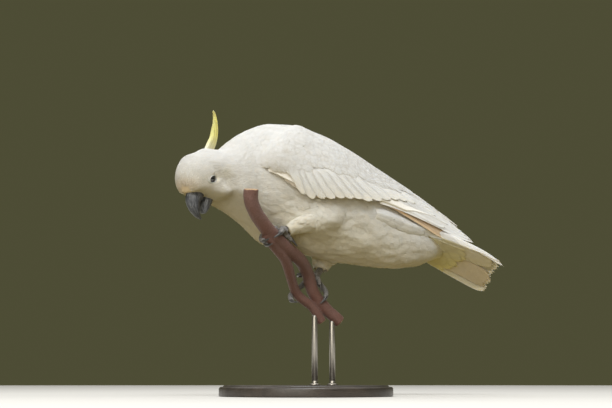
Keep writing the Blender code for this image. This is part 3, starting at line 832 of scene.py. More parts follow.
def eye_finish():
    """A wet black pupil in a very dark iris."""
    made = Finish("eye_surface", Roughness=0.06, Coat_Weight=1.0, Coat_Roughness=0.02)
    ring = made.attribute("iris")
    made.colour(made.ramp(ring, (0.42, (0.002, 0.002, 0.002)), (0.5, (0.009, 0.005, 0.004)),
                          (0.9, (0.004, 0.003, 0.003))))
    return made.material


def lid_finish(colour):
    """Bare skin, darker in its fine folds, which is painted shade."""
    made = Finish("eye_skin", Roughness=0.6, Subsurface_Weight=0.1, Subsurface_Scale=0.001)
    folds = made.noise(made.where(), 1400.0, 3.0, 0.6)
    # painted shade: darker where the folds sink
    made.colour(made.mix(made.ramp(folds, (0.35, 0.5), (0.7, 0.0)), colour, times(colour, 0.55)))
    made.link(made.bump(folds, 0.0003, 0.7), "Normal")
    return made.material


BARK_BLOOM = (0.19, 0.12, 0.115)


def bark_finish(colour):
    """Smooth reddish bark with greyer bloom, fine cracks along it, and rough flecks. The sawn wood
    at its ends has rings about the branch's middle."""
    made = Finish("bark", Roughness=0.5, Specular_IOR_Level=0.45, Sheen_Weight=0.08)
    along = made.where((1.0, 0.16, 1), uv="Bark")
    streak = made.noise(along, 26.0, 5.0, 0.62, 0.3)
    cloud = made.noise(made.where(), 32.0, 4.0, 0.55)
    fleck = made.noise(made.where(uv="Bark"), 34.0)
    grey = tuple(0.5 * part + 0.5 * level for part, level in zip(colour, BARK_BLOOM))
    plain = made.blend(cloud, 0.35, 0.65, colour, grey)
    streaked = made.mix(made.ramp(streak, (0.42, 0.7), (0.56, 0.0)), plain, times(colour, 0.5))
    flecked = made.blend(fleck, 0.68, 0.72, streaked, times(colour, 0.3))
    grain = made.sum("MULTIPLY", made.noise(made.where(), 700.0), 0.05)
    around = made.sum("MULTIPLY", made.sum("ADD", made.attribute("ring"), grain), 75.0)
    level = made.sum("MULTIPLY_ADD", made.sum("SINE", around), 0.5)
    cut = made.ramp(level, (0.0, (0.34, 0.2, 0.1)), (1.0, (0.52, 0.36, 0.21)))
    made.colour(made.mix(made.attribute("cut"), flecked, cut))
    made.link(made.ramp(streak, (0.4, 0.62), (0.62, 0.42)), "Roughness")
    relief = made.bump(streak, 0.0011, 0.6)
    relief = made.bump(fleck, 0.0006, 0.5, relief)
    made.link(relief, "Normal")
    return made.material


def base_finish(colour):
    """Dark stained wood with a long grain and a satin finish."""
    made = Finish("stand_wood", Roughness=0.38, Coat_Weight=0.2, Coat_Roughness=0.25)
    warp = made.noise(made.where((3, 14, 14)), 1.6, 3.0)
    grain = made.noise(made.where((5, 95, 40)), 1.0, 6.0, 0.6, 0.4)
    pores = made.noise(made.where((60, 900, 900)), 1.0, 2.0)
    plain = made.blend(grain, 0.35, 0.65, colour, times(colour, 2.3))
    plain = made.mix(made.ramp(warp, (0.4, 0.0), (0.62, 0.5)), plain, times(colour, 0.7))
    made.colour(made.mix(made.ramp(pores, (0.3, 0.7), (0.42, 0.0)), plain, times(colour, 0.35)))
    made.link(made.ramp(grain, (0.3, 0.46), (0.7, 0.32)), "Roughness")
    made.link(made.bump(pores, 0.0002, 0.4), "Normal")
    return made.material


def rod_finish(colour):
    """Metal brushed along the rod."""
    made = Finish("stand_metal", Metallic=1.0, Roughness=0.34)
    brushed = made.noise(made.where((900, 900, 12)), 1.0, 3.0)
    made.colour(made.blend(brushed, 0.3, 0.7, colour, times(colour, 1.5)))
    made.link(made.ramp(brushed, (0.3, 0.42), (0.7, 0.28)), "Roughness")
    made.link(made.bump(brushed, 0.00008, 0.5), "Normal")
    return made.material


def floor_finish(colour):
    """Matt and plain, with hardly visible clouds."""
    made = Finish("studio_floor", Roughness=0.75)
    cloud = made.noise(made.where(), 3.0, 2.0)
    made.colour(made.blend(cloud, 0.3, 0.7, colour, times(colour, 0.96)))
    return made.material


# ------------------------------------------------------------------ markings

def picked(name):
    """One of the panel's colours."""
    return getattr(bpy.context.scene.cockatoo_colours, name)[:3]


def sizes():
    """The panel's sizes."""
    return bpy.context.scene.cockatoo_sizes


def near(points, place, reach):
    """1 at a place, falling to 0 at its reach, for each point."""
    distance = np.linalg.norm((points - place) / np.asarray(reach), axis=-1)
    share = np.clip(1 - distance, 0, 1)
    return share * share * (3 - 2 * share)


HEAD_WASHES = (  # colour, strength, place and reach ahead, to the left and above, in mm
    ("yellow", 0.2, (-5, 31, -2), (15, 14, 13)),
    ("yellow", 0.2, (-5, -31, -2), (15, 14, 13)),
    ("peach", 0.75, (29, 0, 4), (17, 26, 15)),
    ("yellow", 0.5, (-26, 0, 22), (22, 12, 16)),
)
BODY_WASHES = (  # colour, strength, place and reach along X, Y and Z, in mm
    # painted light: a white wash over the right leg's tuft, which catches the light there
    ("white", 0.9, (34, 22, 182), (34, 34, 34)),
    ("yellow", 0.95, (205, 10, 182), (75, 70, 42)),
)


def markings(points):
    """The plumage's colour anywhere on the bird, shared by the skin and the vanes over it: white
    above, and cream from just over the body's axis down, which is painted warm shade of the
    underside, with washes that fade at their reach; the white wash over the right leg is painted light."""
    tint = np.broadcast_to(picked("white"), points.shape)

    def blend(share, name):
        return tint + (np.array(picked(name)) - tint) * share[..., None]

    # painted shade: cream, warmer and darker, from just over the axis down, where the body faces away from
    # the light
    below = np.clip((axis_height(points[..., 0]) + 10 * MM - points[..., 2]) / (75 * MM), 0, 1)
    tint = blend(0.9 * below**1.1, "underside_painted_shade")
    for washes, places in ((HEAD_WASHES, in_head_axes(points)), (BODY_WASHES, points)):
        for name, strength, place, reach in washes:
            tint = blend(strength * near(places / MM, place, reach), name)
    return tint


def vary(rng, tint, amount=0.02):
    """Each vane a little lighter or darker, and a little warmer or cooler."""
    level = 1 + rng.normal(0, amount, (len(tint), 1))
    warmth = rng.normal(0, amount * 0.4, (len(tint), 1)) * np.array((1, 0, -1.5))
    return np.clip(tint * (level + warmth), 0.01, 0.95)


# ------------------------------------------------------------------ the bird's surfaces

BODY_SHEET = body_sheet()
CAPE_SHEET = cape_sheet(BODY_SHEET)
WING_SHEETS = {"left": wing_sheet(-1), "right": wing_sheet(1)}
THIGH_SHEETS = {side: thigh_sheet(side) for side in THIGHS}


def body_share(along):
    """The body sheet's first parameter where its middle passes a place along X."""
    middle = BODY_SHEET.points.mean(axis=1)[:, 0]
    return np.interp(along, middle, np.linspace(0, 1, len(middle)))


def wing_cover(points):
    """Where points of the body lie under a folded wing, from 0 at its edges up."""
    along = np.clip(points[..., 0], WING[0, 0], WING[-1, 0])
    low_out, low_up, _, top_up, _ = smooth_rows(WING, along).T
    side, height = off_axis(points)
    inside = np.minimum(np.minimum(height - low_up, top_up - height), (along - WING[0, 0]) * 0.8)
    return np.where(np.abs(side) > 0.2 * low_out, inside, -1.0)


def ranks(sheet, first, last, spacing, seed, jitter=0.25):
    """Rows of roots across a sheet, a spacing apart, with every other row moved half a place. The
    spacing is a function of the first parameter."""
    rng = np.random.default_rng(seed)
    rows, s, shift = [], first, 0.0
    while s < last:
        a = np.linspace(0, 1, 200, endpoint=False)
        _, _, per_s, per_a = sheet.read(np.full(200, s), a)
        gap = spacing(s)
        step = gap / per_s.mean()
        count = max(3, int(per_a.mean() / gap))
        places = (np.arange(count) + shift + rng.uniform(-jitter, jitter, count)) / count
        rows.append(np.stack([s + rng.uniform(-jitter, jitter, count) * step, places]))
        s += step
        shift = 0.5 - shift
    s, a = np.concatenate(rows, axis=1)
    return np.clip(s, 0, 1), (a % 1.0 if sheet.closed else np.clip(a, 0, 1)), rng


def clear_of_eyes(sheet, s, a, length, reach):
    """The length that keeps each vane's tip out of the bare rings, by the distance along its lie at
    which it would enter the circle round the eye. Vanes rooted in a ring get none."""
    points, _, _, _ = sheet.read(s, a)
    ahead, _, _, _ = sheet.read(s + 0.004, a)
    lie = unit(ahead - points)
    for side in (1, -1):
        to_eye = in_head(EYE_SEAT[0], side * (EYE_SEAT[1] + 1.6 * MM), EYE_SEAT[2]) - points
        along = (to_eye * lie).sum(axis=-1)
        miss = (to_eye**2).sum(axis=-1) - along**2
        enters = along - np.sqrt(np.clip(reach**2 - miss, 0, None))
        meets = (miss < reach**2) & (along > 0)
        length = np.where(meets, np.minimum(length, enters + 1.2 * MM), length)
        length = np.where((to_eye**2).sum(axis=-1) < reach**2, 0, length)
    return length


def at_bill(points):
    """Whether roots would stand in the upper or the lower bill, by an ellipse across each."""
    ahead, left, up = np.moveaxis(in_head_axes(points), -1, 0) / MM
    upper = (ahead > 16) & ((left / 12.6) ** 2 + ((up + 11) / 11.5) ** 2 < 1)
    lower = (ahead > 2) & ((left / 10.6) ** 2 + ((up + 25) / 9.5) ** 2 < 1)
    return upper | lower


CONTOUR = dict(stations=6, across=7)
COAT_COLUMNS = 320


def draped(sheet):
    """The body's surface carried out over the upper legs. Along its own way outwards each place is
    moved to where that line leaves the leg's round section, less and less towards the ankle, and
    the moves are smoothed so that no ridge shows."""
    around = np.arange(COAT_COLUMNS) / COAT_COLUMNS
    s, a = np.meshgrid(np.linspace(0, 1, BODY_ROWS), around, indexing="ij")
    points, normal, _, _ = sheet.read(s, a)
    lift = np.zeros(s.shape)
    for sections in THIGHS.values():
        line = through(np.array(sections) * MM, 6)
        close = np.abs(points[..., 0] - line[:, 0].mean()) < np.ptp(line[:, 0]) / 2 + 30 * MM
        start, way = points[close], normal[close]
        out = np.full(len(start), 50 * MM)
        for _ in range(14):  # inwards from outside, each step as long as the gap that is left
            at = start + way * out[:, None]
            gap = np.linalg.norm(at[:, None] - line[None, :, :3], axis=2) - line[None, :, 3]
            out = np.maximum(out - gap.min(axis=1), 0)
        share = np.interp(gap.argmin(axis=1) / len(line), (0.5, 0.92), (1.0, 0.0))
        lift[close] = np.maximum(lift[close], np.where(out > 0, (out + 1.5 * MM) * share, 0))
    for wide, most in ((6, True), (4, True), (2, False)):
        soft = lift
        for axis in (0, 1, 0, 1):
            soft = blurred(soft, axis, np.ones(2 * wide + 1))
        lift = np.maximum(lift, soft) if most else soft
    return Sheet(points + normal * lift[..., None], True)


def ruffled(points, normal, least=0.15):
    """Points of vanes moved along their roots' normals by one smooth random field, which is strong
    on the belly and slight above it, so that neighbours move together."""
    low = np.clip((axis_height(points[..., 0]) + 5 * MM - points[..., 2]) / (40 * MM), 0, 1)
    low = least + (1 - least) * low * np.clip((points[..., 0] + 110 * MM) / (60 * MM), 0, 1)
    at = points * (0.7, 1.0, 1.0)
    lift = ripple(at, 25 * MM, 8, 14) * 1.1 + ripple(at, 11 * MM, 9, 14) * 0.45
    return points + normal * (lift * low * MM)[..., None]


COAT_SHEET = draped(BODY_SHEET)
CONTOUR_KNOTS = [0, *(body_share(x * MM) for x in (-135, -95, -20, 120)), 1]
CONTOUR_SIZES = {  # in mm at each of the knots, which lie from the face to the tail
    "length": (6, 10, 15, 21, 23, 30),
    "width": (3.6, 5.8, 9.2, 13, 14.5, 17),
    "spacing": (2.07, 3.06, 4.6, 6.4, 7.0, 8.0),
    "depth": (0.7, 1.0, 1.5, 1.9, 2.0, 2.2),
}


def contour_size(name, s):
    """A size of the small vanes by the body sheet's first parameter."""
    return np.interp(s, CONTOUR_KNOTS, np.array(CONTOUR_SIZES[name]) * MM)


def contour_piece(name, first, last, seed, finish):
    """The small overlapping vanes of one stretch of the head, neck or body."""
    s, a, rng = ranks(BODY_SHEET, first, last, lambda s: contour_size("spacing", s), seed)
    points, _, _, _ = BODY_SHEET.read(s, a)
    grown = contour_size("length", s) * rng.uniform(0.88, 1.12, len(s))
    grown = clear_of_eyes(BODY_SHEET, s, a, grown, sizes().eye_ring / 2)
    wanted = (grown > 1.8 * MM) & ~at_bill(points) & (wing_cover(points) < 13 * MM)
    s, a, points, grown = s[wanted], a[wanted], points[wanted], grown[wanted]
    count, width = len(s), contour_size("width", s)
    leaf = Leaf(point=1.8, tip=0.3, **CONTOUR)
    fray = rng.uniform(-0.15, 0.02, (count, leaf.across))
    sink = contour_size("depth", s) * np.clip(grown / contour_size("length", s), 0.3, 1)
    vanes = lay_vanes(
        COAT_SHEET, leaf, s, a, grown, np.minimum(width, grown) * rng.uniform(0.9, 1.1, count),
        heading=rng.normal(0, 0.07, count), sink=-sink, rise=rng.uniform(0.0, 0.2, count) * sink,
        dome=0.03, roll=rng.normal(0, 0.015, count), fray=fray, thick=0.13 * MM, spring=0.6,
        tuck=0.55 * sink)
    vanes = ruffled(vanes, COAT_SHEET.read(s, a)[1][:, None, :])
    coat = Coat()
    coat.add(vanes, leaf, s, a, vary(rng, markings(points), 0.012)[:, None, :], grown, width)
    coat.make(name, finish)


def contour_coat():
    """Everything but wings, tail, thighs and crest, in pieces from the face to the tail."""
    finish = plumage_finish("contour_plumage")
    names = ("plumage_face", "plumage_neck", "plumage_breast", "plumage_body", "plumage_rump")
    cuts = [0, *CONTOUR_KNOTS[1:4], body_share(70 * MM), 0.998]
    for number, name in enumerate(names):
        contour_piece(name, cuts[number], cuts[number + 1], 11 + number, finish)


def thigh_coat(side, finish):
    """The loose plumage of a leg, which comes out of the body's coat and ends at the ankle."""
    sheet = THIGH_SHEETS[side]
    s, a, rng = ranks(sheet, 0.2, 0.97, lambda s: 4.2 * MM, 40 + len(side))
    points, _, _, _ = sheet.read(s, a)
    count = len(s)
    leaf = Leaf(point=1.5, tip=0.25, **CONTOUR)
    grown = rng.uniform(15, 25, count) * MM
    room = (1.06 - s) * lengths_along(sheet.points.mean(axis=1))[-1]
    grown = np.minimum(grown, np.maximum(room, 7 * MM))
    sink, rise = np.interp(s, (0.2, 0.6), (-2.2, -0.7)), np.interp(s, (0.2, 0.5), (-1.2, 0.3))
    vanes = lay_vanes(
        sheet, leaf, s, a, grown, rng.uniform(6, 8.5, count) * MM, heading=rng.normal(0, 0.16, count),
        sink=sink * MM, rise=(rise + rng.uniform(0.0, 0.6, count)) * MM, dome=0.02,
        roll=rng.normal(0, 0.02, count), fray=rng.uniform(-0.3, 0.04, (count, leaf.across)),
        tuck=0.7 * MM, spring=0.6, thick=0.12 * MM)
    vanes = ruffled(vanes, sheet.read(s, a)[1][:, None, :], 1.0)
    coat = Coat()
    tint = vary(rng, markings(points), 0.025)
    coat.add(vanes, leaf, s, a, tint[:, None, :], grown, 7 * MM)
    coat.make("plumage_thigh_" + side, finish)


# ------------------------------------------------------------------ wings

def wing_group(coat, sheet, rng, rows, leaf, painted_tip_shade=0.0, shade=0.0, **settings):
    """Vanes from rows of their tip's place (along X in mm and share of the wing's height), length,
    width and rise in mm, and heading in degrees. Each root lies back along the heading from its tip.
    Its share after the leaf yellows the tips, painted warm shade where the rows overlap, and shade
    mixes in tan, painted shade where the feathers lie in shadow."""
    rows = np.asarray(rows, dtype=float)
    length, width, heading = rows[:, 2] * MM, rows[:, 3] * MM, np.radians(rows[:, 4])
    s, a = wing_place(rows[:, 0] * MM, rows[:, 1])
    tip_s, tip_a = s, a
    for _ in range(6):
        _, _, per_s, per_a = sheet.read(s, a)
        s, a = tip_s - length * np.cos(heading) / per_s, tip_a - length * np.sin(heading) / per_a
    count = len(rows)
    vanes = lay_vanes(sheet, leaf, s, a, length, width, heading=heading, rise=rows[:, 5] * MM,
                      fray=rng.uniform(-0.035, 0.0, (count, leaf.across)), **settings)
    points, _, _, _ = sheet.read(s, a)
    # shade mixes in tan, which is painted shade
    tint = markings(points) * (1 - shade) + np.array(picked("shade")) * shade
    tint = vary(rng, tint, 0.012)[:, None, :]
    # painted warm shade: the tips yellowed over their last part
    edge = painted_tip_shade * np.clip((leaf.t - 0.6) / 0.4, 0, 1)[None, :, None]
    coat.add(vanes, leaf, s, a, tint * (1 - edge * (0, 0.05, 0.18)), length, width)


WING_HEIGHT = (-84, -66, -30, 10, 190, 253), (30, 45, 95, 115, 75, 20)  # mm along X, and from edge to edge


def spread(rng, first, last, low, high, along_gap, across_gap, length, width, heading, rise, size):
    """Staggered rows over part of a wing. low and high are shares of the wing's height there."""
    rows = []
    for number, x in enumerate(np.arange(first, last, along_gap)):
        height = np.interp(x, *WING_HEIGHT)
        count = max(1, int((high - low) / 2 * height / across_gap))
        shares = low + (high - low) * (np.arange(count) + 0.25 + 0.5 * (number % 2)) / count
        places = np.column_stack([
            x + rng.uniform(-0.2, 0.2, count) * along_gap, shares + rng.normal(0, 0.02, count),
            length * rng.uniform(0.92, 1.08, count), width * rng.uniform(0.95, 1.05, count),
            heading + rng.normal(0, 3, count), rise + rng.uniform(-size, size, count)])
        rows.append(places)
    return np.concatenate(rows)


FLIGHT_GROUPS = (
    # how many, then what the first one has and what each next one adds of: its tip's place along X
    # in mm, its share of the wing's height, its length and width in mm, its heading in degrees and
    # its rise in mm; last its share of tan, which is painted shade, and its roll
    # the inner sides of the outer feathers below the wing, tan as painted shade, for they lie in shadow
    (6, (222, -0.5, 140, 14, 1.0, -3.2), (-3, -0.09, -3, 0, -0.6, -0.7), 0.9, 0.05),
    # the outermost, along the wing's lower edge
    (6, (202, -0.64, 120, 15, 9.0, -2.2), (10, 0.09, 10, 0, -1.4, 0), 0.0, -0.05),
    # the outer feathers, the longest lowest
    (8, (254, -0.6, 184, 16, 1.0, -2.0), (-6.5, 0.165, -2, 0, -0.3, 0.2), 0.0, -0.05),
    # the inner ones, each over the one below
    (10, (200, -0.6, 124, 19, 4.2, -1.4), (-4, 0.11, -1.6, 0, -0.2, 0.12), 0.0, -0.05),
    # the innermost, broad, along the back
    (6, (172, 0.16, 120, 24, -4, -0.5), (-7, 0.15, 0, 0, 0.5, 0.08), 0.0, -0.03),
)
# the stiff small feathers along the wing's lower front edge
EDGE_GROUP = 7, (-42, -0.98, 34, 11, -20, -1.9), (8, -0.012, 2, 0, 1.5, 0)
FINGER_TIPS = np.array([  # along X in mm, share of the wing's height
    (-22, -1.08), (-9, -1.12), (5, -1.08), (18, -1.06), (32, -1.02), (46, -1.0), (60, -0.98),
    (75, -0.98), (90, -0.9), (106, -0.8), (122, -0.66), (138, -0.52), (154, -0.36), (170, -0.2),
    (184, 0.0),
])
LESSER_EDGE = (-84, -60, -40, -20, 10, 60, 110, 168), (-1.0, -0.95, -0.72, -0.52, -0.46, -0.52, -0.4, 0.2)


def stepped(count, first, step):
    """Rows that start with the first and grow by equal steps."""
    return np.array(first) + np.outer(np.arange(count), step)


def wing_coat(side, finish):
    """A folded wing, from its long flight feathers out to its small coverts."""
    sheet = WING_SHEETS[side]
    rng = np.random.default_rng(71)
    coat = Coat()
    flight = Leaf(16, 7, root=0.45, widest=0.6, point=2.6, tip=0.2)
    for *rows, shade, roll in FLIGHT_GROUPS:
        wing_group(coat, sheet, rng, stepped(*rows), flight, shade=shade, roll=roll, sink=-2.6 * MM,
                   dome=0.03, thick=0.45 * MM)
    flights = coat.make(f"wing_{side}_flight_feathers", finish)

    coat = Coat()
    covert = Leaf(14, 9, root=0.5, widest=0.66, point=2.4, tip=0.22)
    # painted shade: a share of tan on the small feathers of the front edge, for the crease below the coverts
    wing_group(coat, sheet, rng, stepped(*EDGE_GROUP), covert, shade=0.3, sink=-2.6 * MM, roll=-0.06,
               dome=0.05, thick=0.4 * MM)
    # the long coverts, whose rounded tips hang like fingers along the lower edge
    n = np.arange(len(FINGER_TIPS))
    fingers = np.column_stack([
        FINGER_TIPS, np.interp(n, (0, 14), (46, 70)), np.interp(n, (0, 6, 14), (17.5, 19, 22)),
        np.interp(n, (0, 5, 9, 14), (-42, -34, -22, -14)),
        np.interp(n, (0, 8, 11, 14), (1.3, 1.0, -0.5, -1.5))])
    wing_group(coat, sheet, rng, fingers, covert, 0.4, sink=-0.9 * MM, dome=0.075, thick=0.45 * MM,
               roll=np.interp(n, (0, 9, 12), (-0.13, -0.13, -0.03)), spring=0.8, relief=1.6)
    # the small ones over the rest, down to where the long ones show
    small = Leaf(8, 7, root=0.55, widest=0.6, point=2.0, tip=0.3)
    lesser = spread(rng, first=-76, last=168, low=-1.0, high=1.0, along_gap=5.5, across_gap=6.0,
                    length=25, width=13.5, heading=-26, rise=0.75, size=0.12)
    level = np.interp(lesser[:, 0], *LESSER_EDGE)
    kept = lesser[:, 1] > level + rng.uniform(-0.12, 0.16, len(level))
    lesser, level = lesser[kept], level[kept]
    along, places = lesser[:, 0], (-76, -20, 60, 168)
    lesser[:, 2] = np.interp(along, places, (17, 24, 32, 44)) * rng.uniform(0.9, 1.1, len(lesser))
    lesser[:, 3] = np.interp(along, places, (10, 13, 15, 18))
    lesser[:, 4] += np.interp(along, (-60, 60, 168), (-6, 4, 14))
    # the last rows close on the long ones
    tuck = np.interp(lesser[:, 1] - level, (0.1, 0.4), (1.9, 0.9)) * MM
    wing_group(coat, sheet, rng, lesser, small, 0.08, sink=-1.0 * MM, roll=-0.01, dome=0.03, tuck=tuck,
               spring=0.6, thick=0.16 * MM)
    coverts = coat.make(f"wing_{side}_coverts_feathers", finish)
    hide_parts(f"wing_{side}_flight")
    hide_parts(f"wing_{side}_coverts")


def saddle_coat(finish, under):
    """The feathers of shoulders and back, which close over both wings' upper edges, and the skin
    between the wings below them."""
    coat = Coat()
    leaf = Leaf(9, 7, root=0.5, widest=0.6, point=2.0, tip=0.3)
    soft = dict(dome=0.03, spring=0.6, thick=0.16 * MM)

    # the cape, over the wings' front parts down to a share of their height
    first, last = body_share(-100 * MM), body_share(72 * MM)
    s, a, rng = ranks(CAPE_SHEET, first, last, lambda s: 7.0 * MM, 56, jitter=0.3)
    points, _, _, _ = CAPE_SHEET.read(s, a)
    _, height = off_axis(points)
    x = points[:, 0] / MM
    edges = smooth_rows(WING, points[:, 0])
    level = (height - edges[:, 1]) / (edges[:, 3] - edges[:, 1])
    least = np.interp(x, (-100, -84, -70, -50, -20, 30, 72), (0.5, 0.05, 0.1, 0.35, 0.55, 0.7, 0.85))
    above = level + rng.uniform(-0.1, 0.1, len(s)) - least
    wanted = above > 0
    s, a, x, points, above = s[wanted], a[wanted], x[wanted], points[wanted], above[wanted]
    count, places = len(s), (-100, -40, 60)
    low = np.interp(x, (0, 72), (0, 3.6)) * MM  # it lies lower towards its end, under the saddle
    length = np.interp(x, places, (20, 30, 42)) * MM * rng.uniform(0.9, 1.1, count)
    width = np.interp(x, places, (12, 15, 18)) * MM
    tuck = np.maximum(np.interp(above, (0.1, 0.4), (2.3, 0.8)), np.interp(x, (20, 50), (0.8, 4.6)))
    vanes = lay_vanes(
        CAPE_SHEET, leaf, s, a, length, width, heading=rng.normal(0, 0.06, count), sink=-1.6 * MM - low,
        rise=rng.uniform(0.2, 0.5, count) * MM - low, roll=rng.normal(0, 0.015, count),
        fray=rng.uniform(-0.12, 0.0, (count, leaf.across)), tuck=tuck * MM, **soft)
    coat.add(vanes, leaf, s * 0.5, a, vary(rng, markings(points), 0.012)[:, None, :], length, width)

    # the saddle, behind it between the wings
    sheet, half = saddle_sheet(), 0.47
    s, a, rng = ranks(sheet, 0.0, 0.79, lambda s: 8.0 * MM, 57, jitter=0.3)
    wanted = np.abs(a - 0.5) < half
    s, a = s[wanted], a[wanted]
    count = len(s)
    length = 42 * MM * rng.uniform(0.9, 1.1, count)
    width = np.interp(s, (0, 0.79), (18, 14)) * MM
    lean = (a - 0.5) * np.interp(s, (0, 1), (0.35, 0.0))
    outer = (np.abs(a - 0.5) / half) ** 2  # lower towards the edges, where they close on the wings
    vanes = lay_vanes(
        sheet, leaf, s, a, length, width, heading=lean + rng.normal(0, 0.05, count),
        sink=(-1.4 - 1.6 * outer) * MM, rise=(rng.uniform(0.4, 0.7, count) - 4.2 * outer) * MM,
        roll=rng.normal(0, 0.015, count), fray=rng.uniform(-0.12, 0.0, (count, leaf.across)),
        tuck=(0.9 + 1.4 * outer) * MM, **soft)
    points, _, _, _ = sheet.read(s, a)
    tint = vary(rng, markings(points), 0.012)[:, None, :]
    coat.add(vanes, leaf, 0.5 + s * 0.5, a, tint, length, width)
    coat.make("back_feathers", finish)

    # the skin below, a thin slab
    inner = (slice(None, None, 2), slice(2, -2, 2))
    over, below = (sheet.points[inner] - sheet.normal[inner] * depth for depth in (1.2 * MM, 2.6 * MM))
    points, quads, triangles, _ = skin_over(np.concatenate([over, below[:, ::-1]], axis=1))
    tints = {"tint": markings(points)}
    dress(make_mesh("back_under_feathers", points, quads, triangles, colours=tints), under)


def wing_core(side, finish):
    """The wing itself under its feathers: a lens between its edges that thins towards the tip, tan
    on the inner side behind, which is painted shade."""
    along = np.linspace(WING[0, 0] + 14 * MM, 206 * MM, 60)[:, None]
    bulge = smooth_rows(WING, along[:, 0])[:, 4:]
    up, face = np.sin(turns(48))[None, :], np.cos(turns(48))[None, :]
    low = np.interp(along, (130 * MM, 180 * MM, 206 * MM), (0.9, 0.5, 0.35))
    share = up * np.where(up < 0, low, 0.9)
    inset = np.minimum(3.6 * MM, bulge * 0.6)
    stands = np.where(face > 0, wing_stands(bulge, share) - inset * face, 1.0 * MM * face)
    out, high = wing_section(along[:, 0], share, stands)
    sign = -1 if side == "left" else 1
    grid = turned_with_body(np.broadcast_to(along, out.shape), sign * out, high)
    points, quads, triangles, _ = skin_over(grid)
    # painted shade: tan on the inner side behind, which lies in shadow
    inner = np.clip(-face, 0, 1) * np.clip((along - 40 * MM) / (90 * MM), 0, 1) * np.clip(0.3 - up, 0, 1)
    inner = 0.8 * np.append(inner.ravel(), (0, 1))[:, None]
    tint = np.array(picked("white")) * (1 - inner) + np.array(picked("shade")) * inner
    item = make_mesh(f"wing_{side}_under_feathers", points, quads, triangles, colours={"tint": tint})
    dress(item, finish)


# ------------------------------------------------------------------ tail and crest

TAIL_SIDE = np.array([  # along X, to the left of the axis, and the lower and upper edge above it
    (82, 47.5, -28, -6),
    (95, 45.7, -27, -4),
    (125, 40.2, -25, -2),
    (140, 37.3, -22, -0.5),
    (155, 34.2, -17, 3),
    (170, 32, -10, 9),
    (185, 32, -7, 12.5),
    (200, 33.5, -2.5, 12.6),
    (215, 35.2, -3, 9.6),
    (230, 37.1, -4, 7.6),
    (245, 39.1, -6, 5.0),
    (260, 41, -9, 1.0),
    (270, 42, -12, -4),
    (280, 42.6, -15, -12),
]) * MM


def tail_edge_sheet():
    """The pale rounded side of the rump and tail, rows from its root to its tip, columns from its
    lower edge up and in towards the wing."""
    along = np.linspace(TAIL_SIDE[0, 0], TAIL_SIDE[-1, 0], 80)
    out, low, high = smooth_rows(TAIL_SIDE, along).T
    turn = np.linspace(-1, 1, 25)[:, None]
    tucked = 6 * MM * np.clip((205 * MM - along) / (40 * MM), 0, 1)  # its lower edge closes on the rump
    inwards = 2.6 * MM * np.clip(turn, 0, 1) ** 2 + tucked * np.clip(-turn, 0, 1) ** 1.5
    side = inwards - out - 1.2 * MM * (1 - turn**2)
    up = (low + high) / 2 + turn * (high - low) / 2
    points = turned_with_body(np.broadcast_to(along, side.shape), side, up)
    return Sheet(np.moveaxis(points, 0, 1), False, away=(0, -1, 0.3))


TAIL_REACH = 1.15  # how far past its edges at -1 and 1 the fan's middle sheet is carried


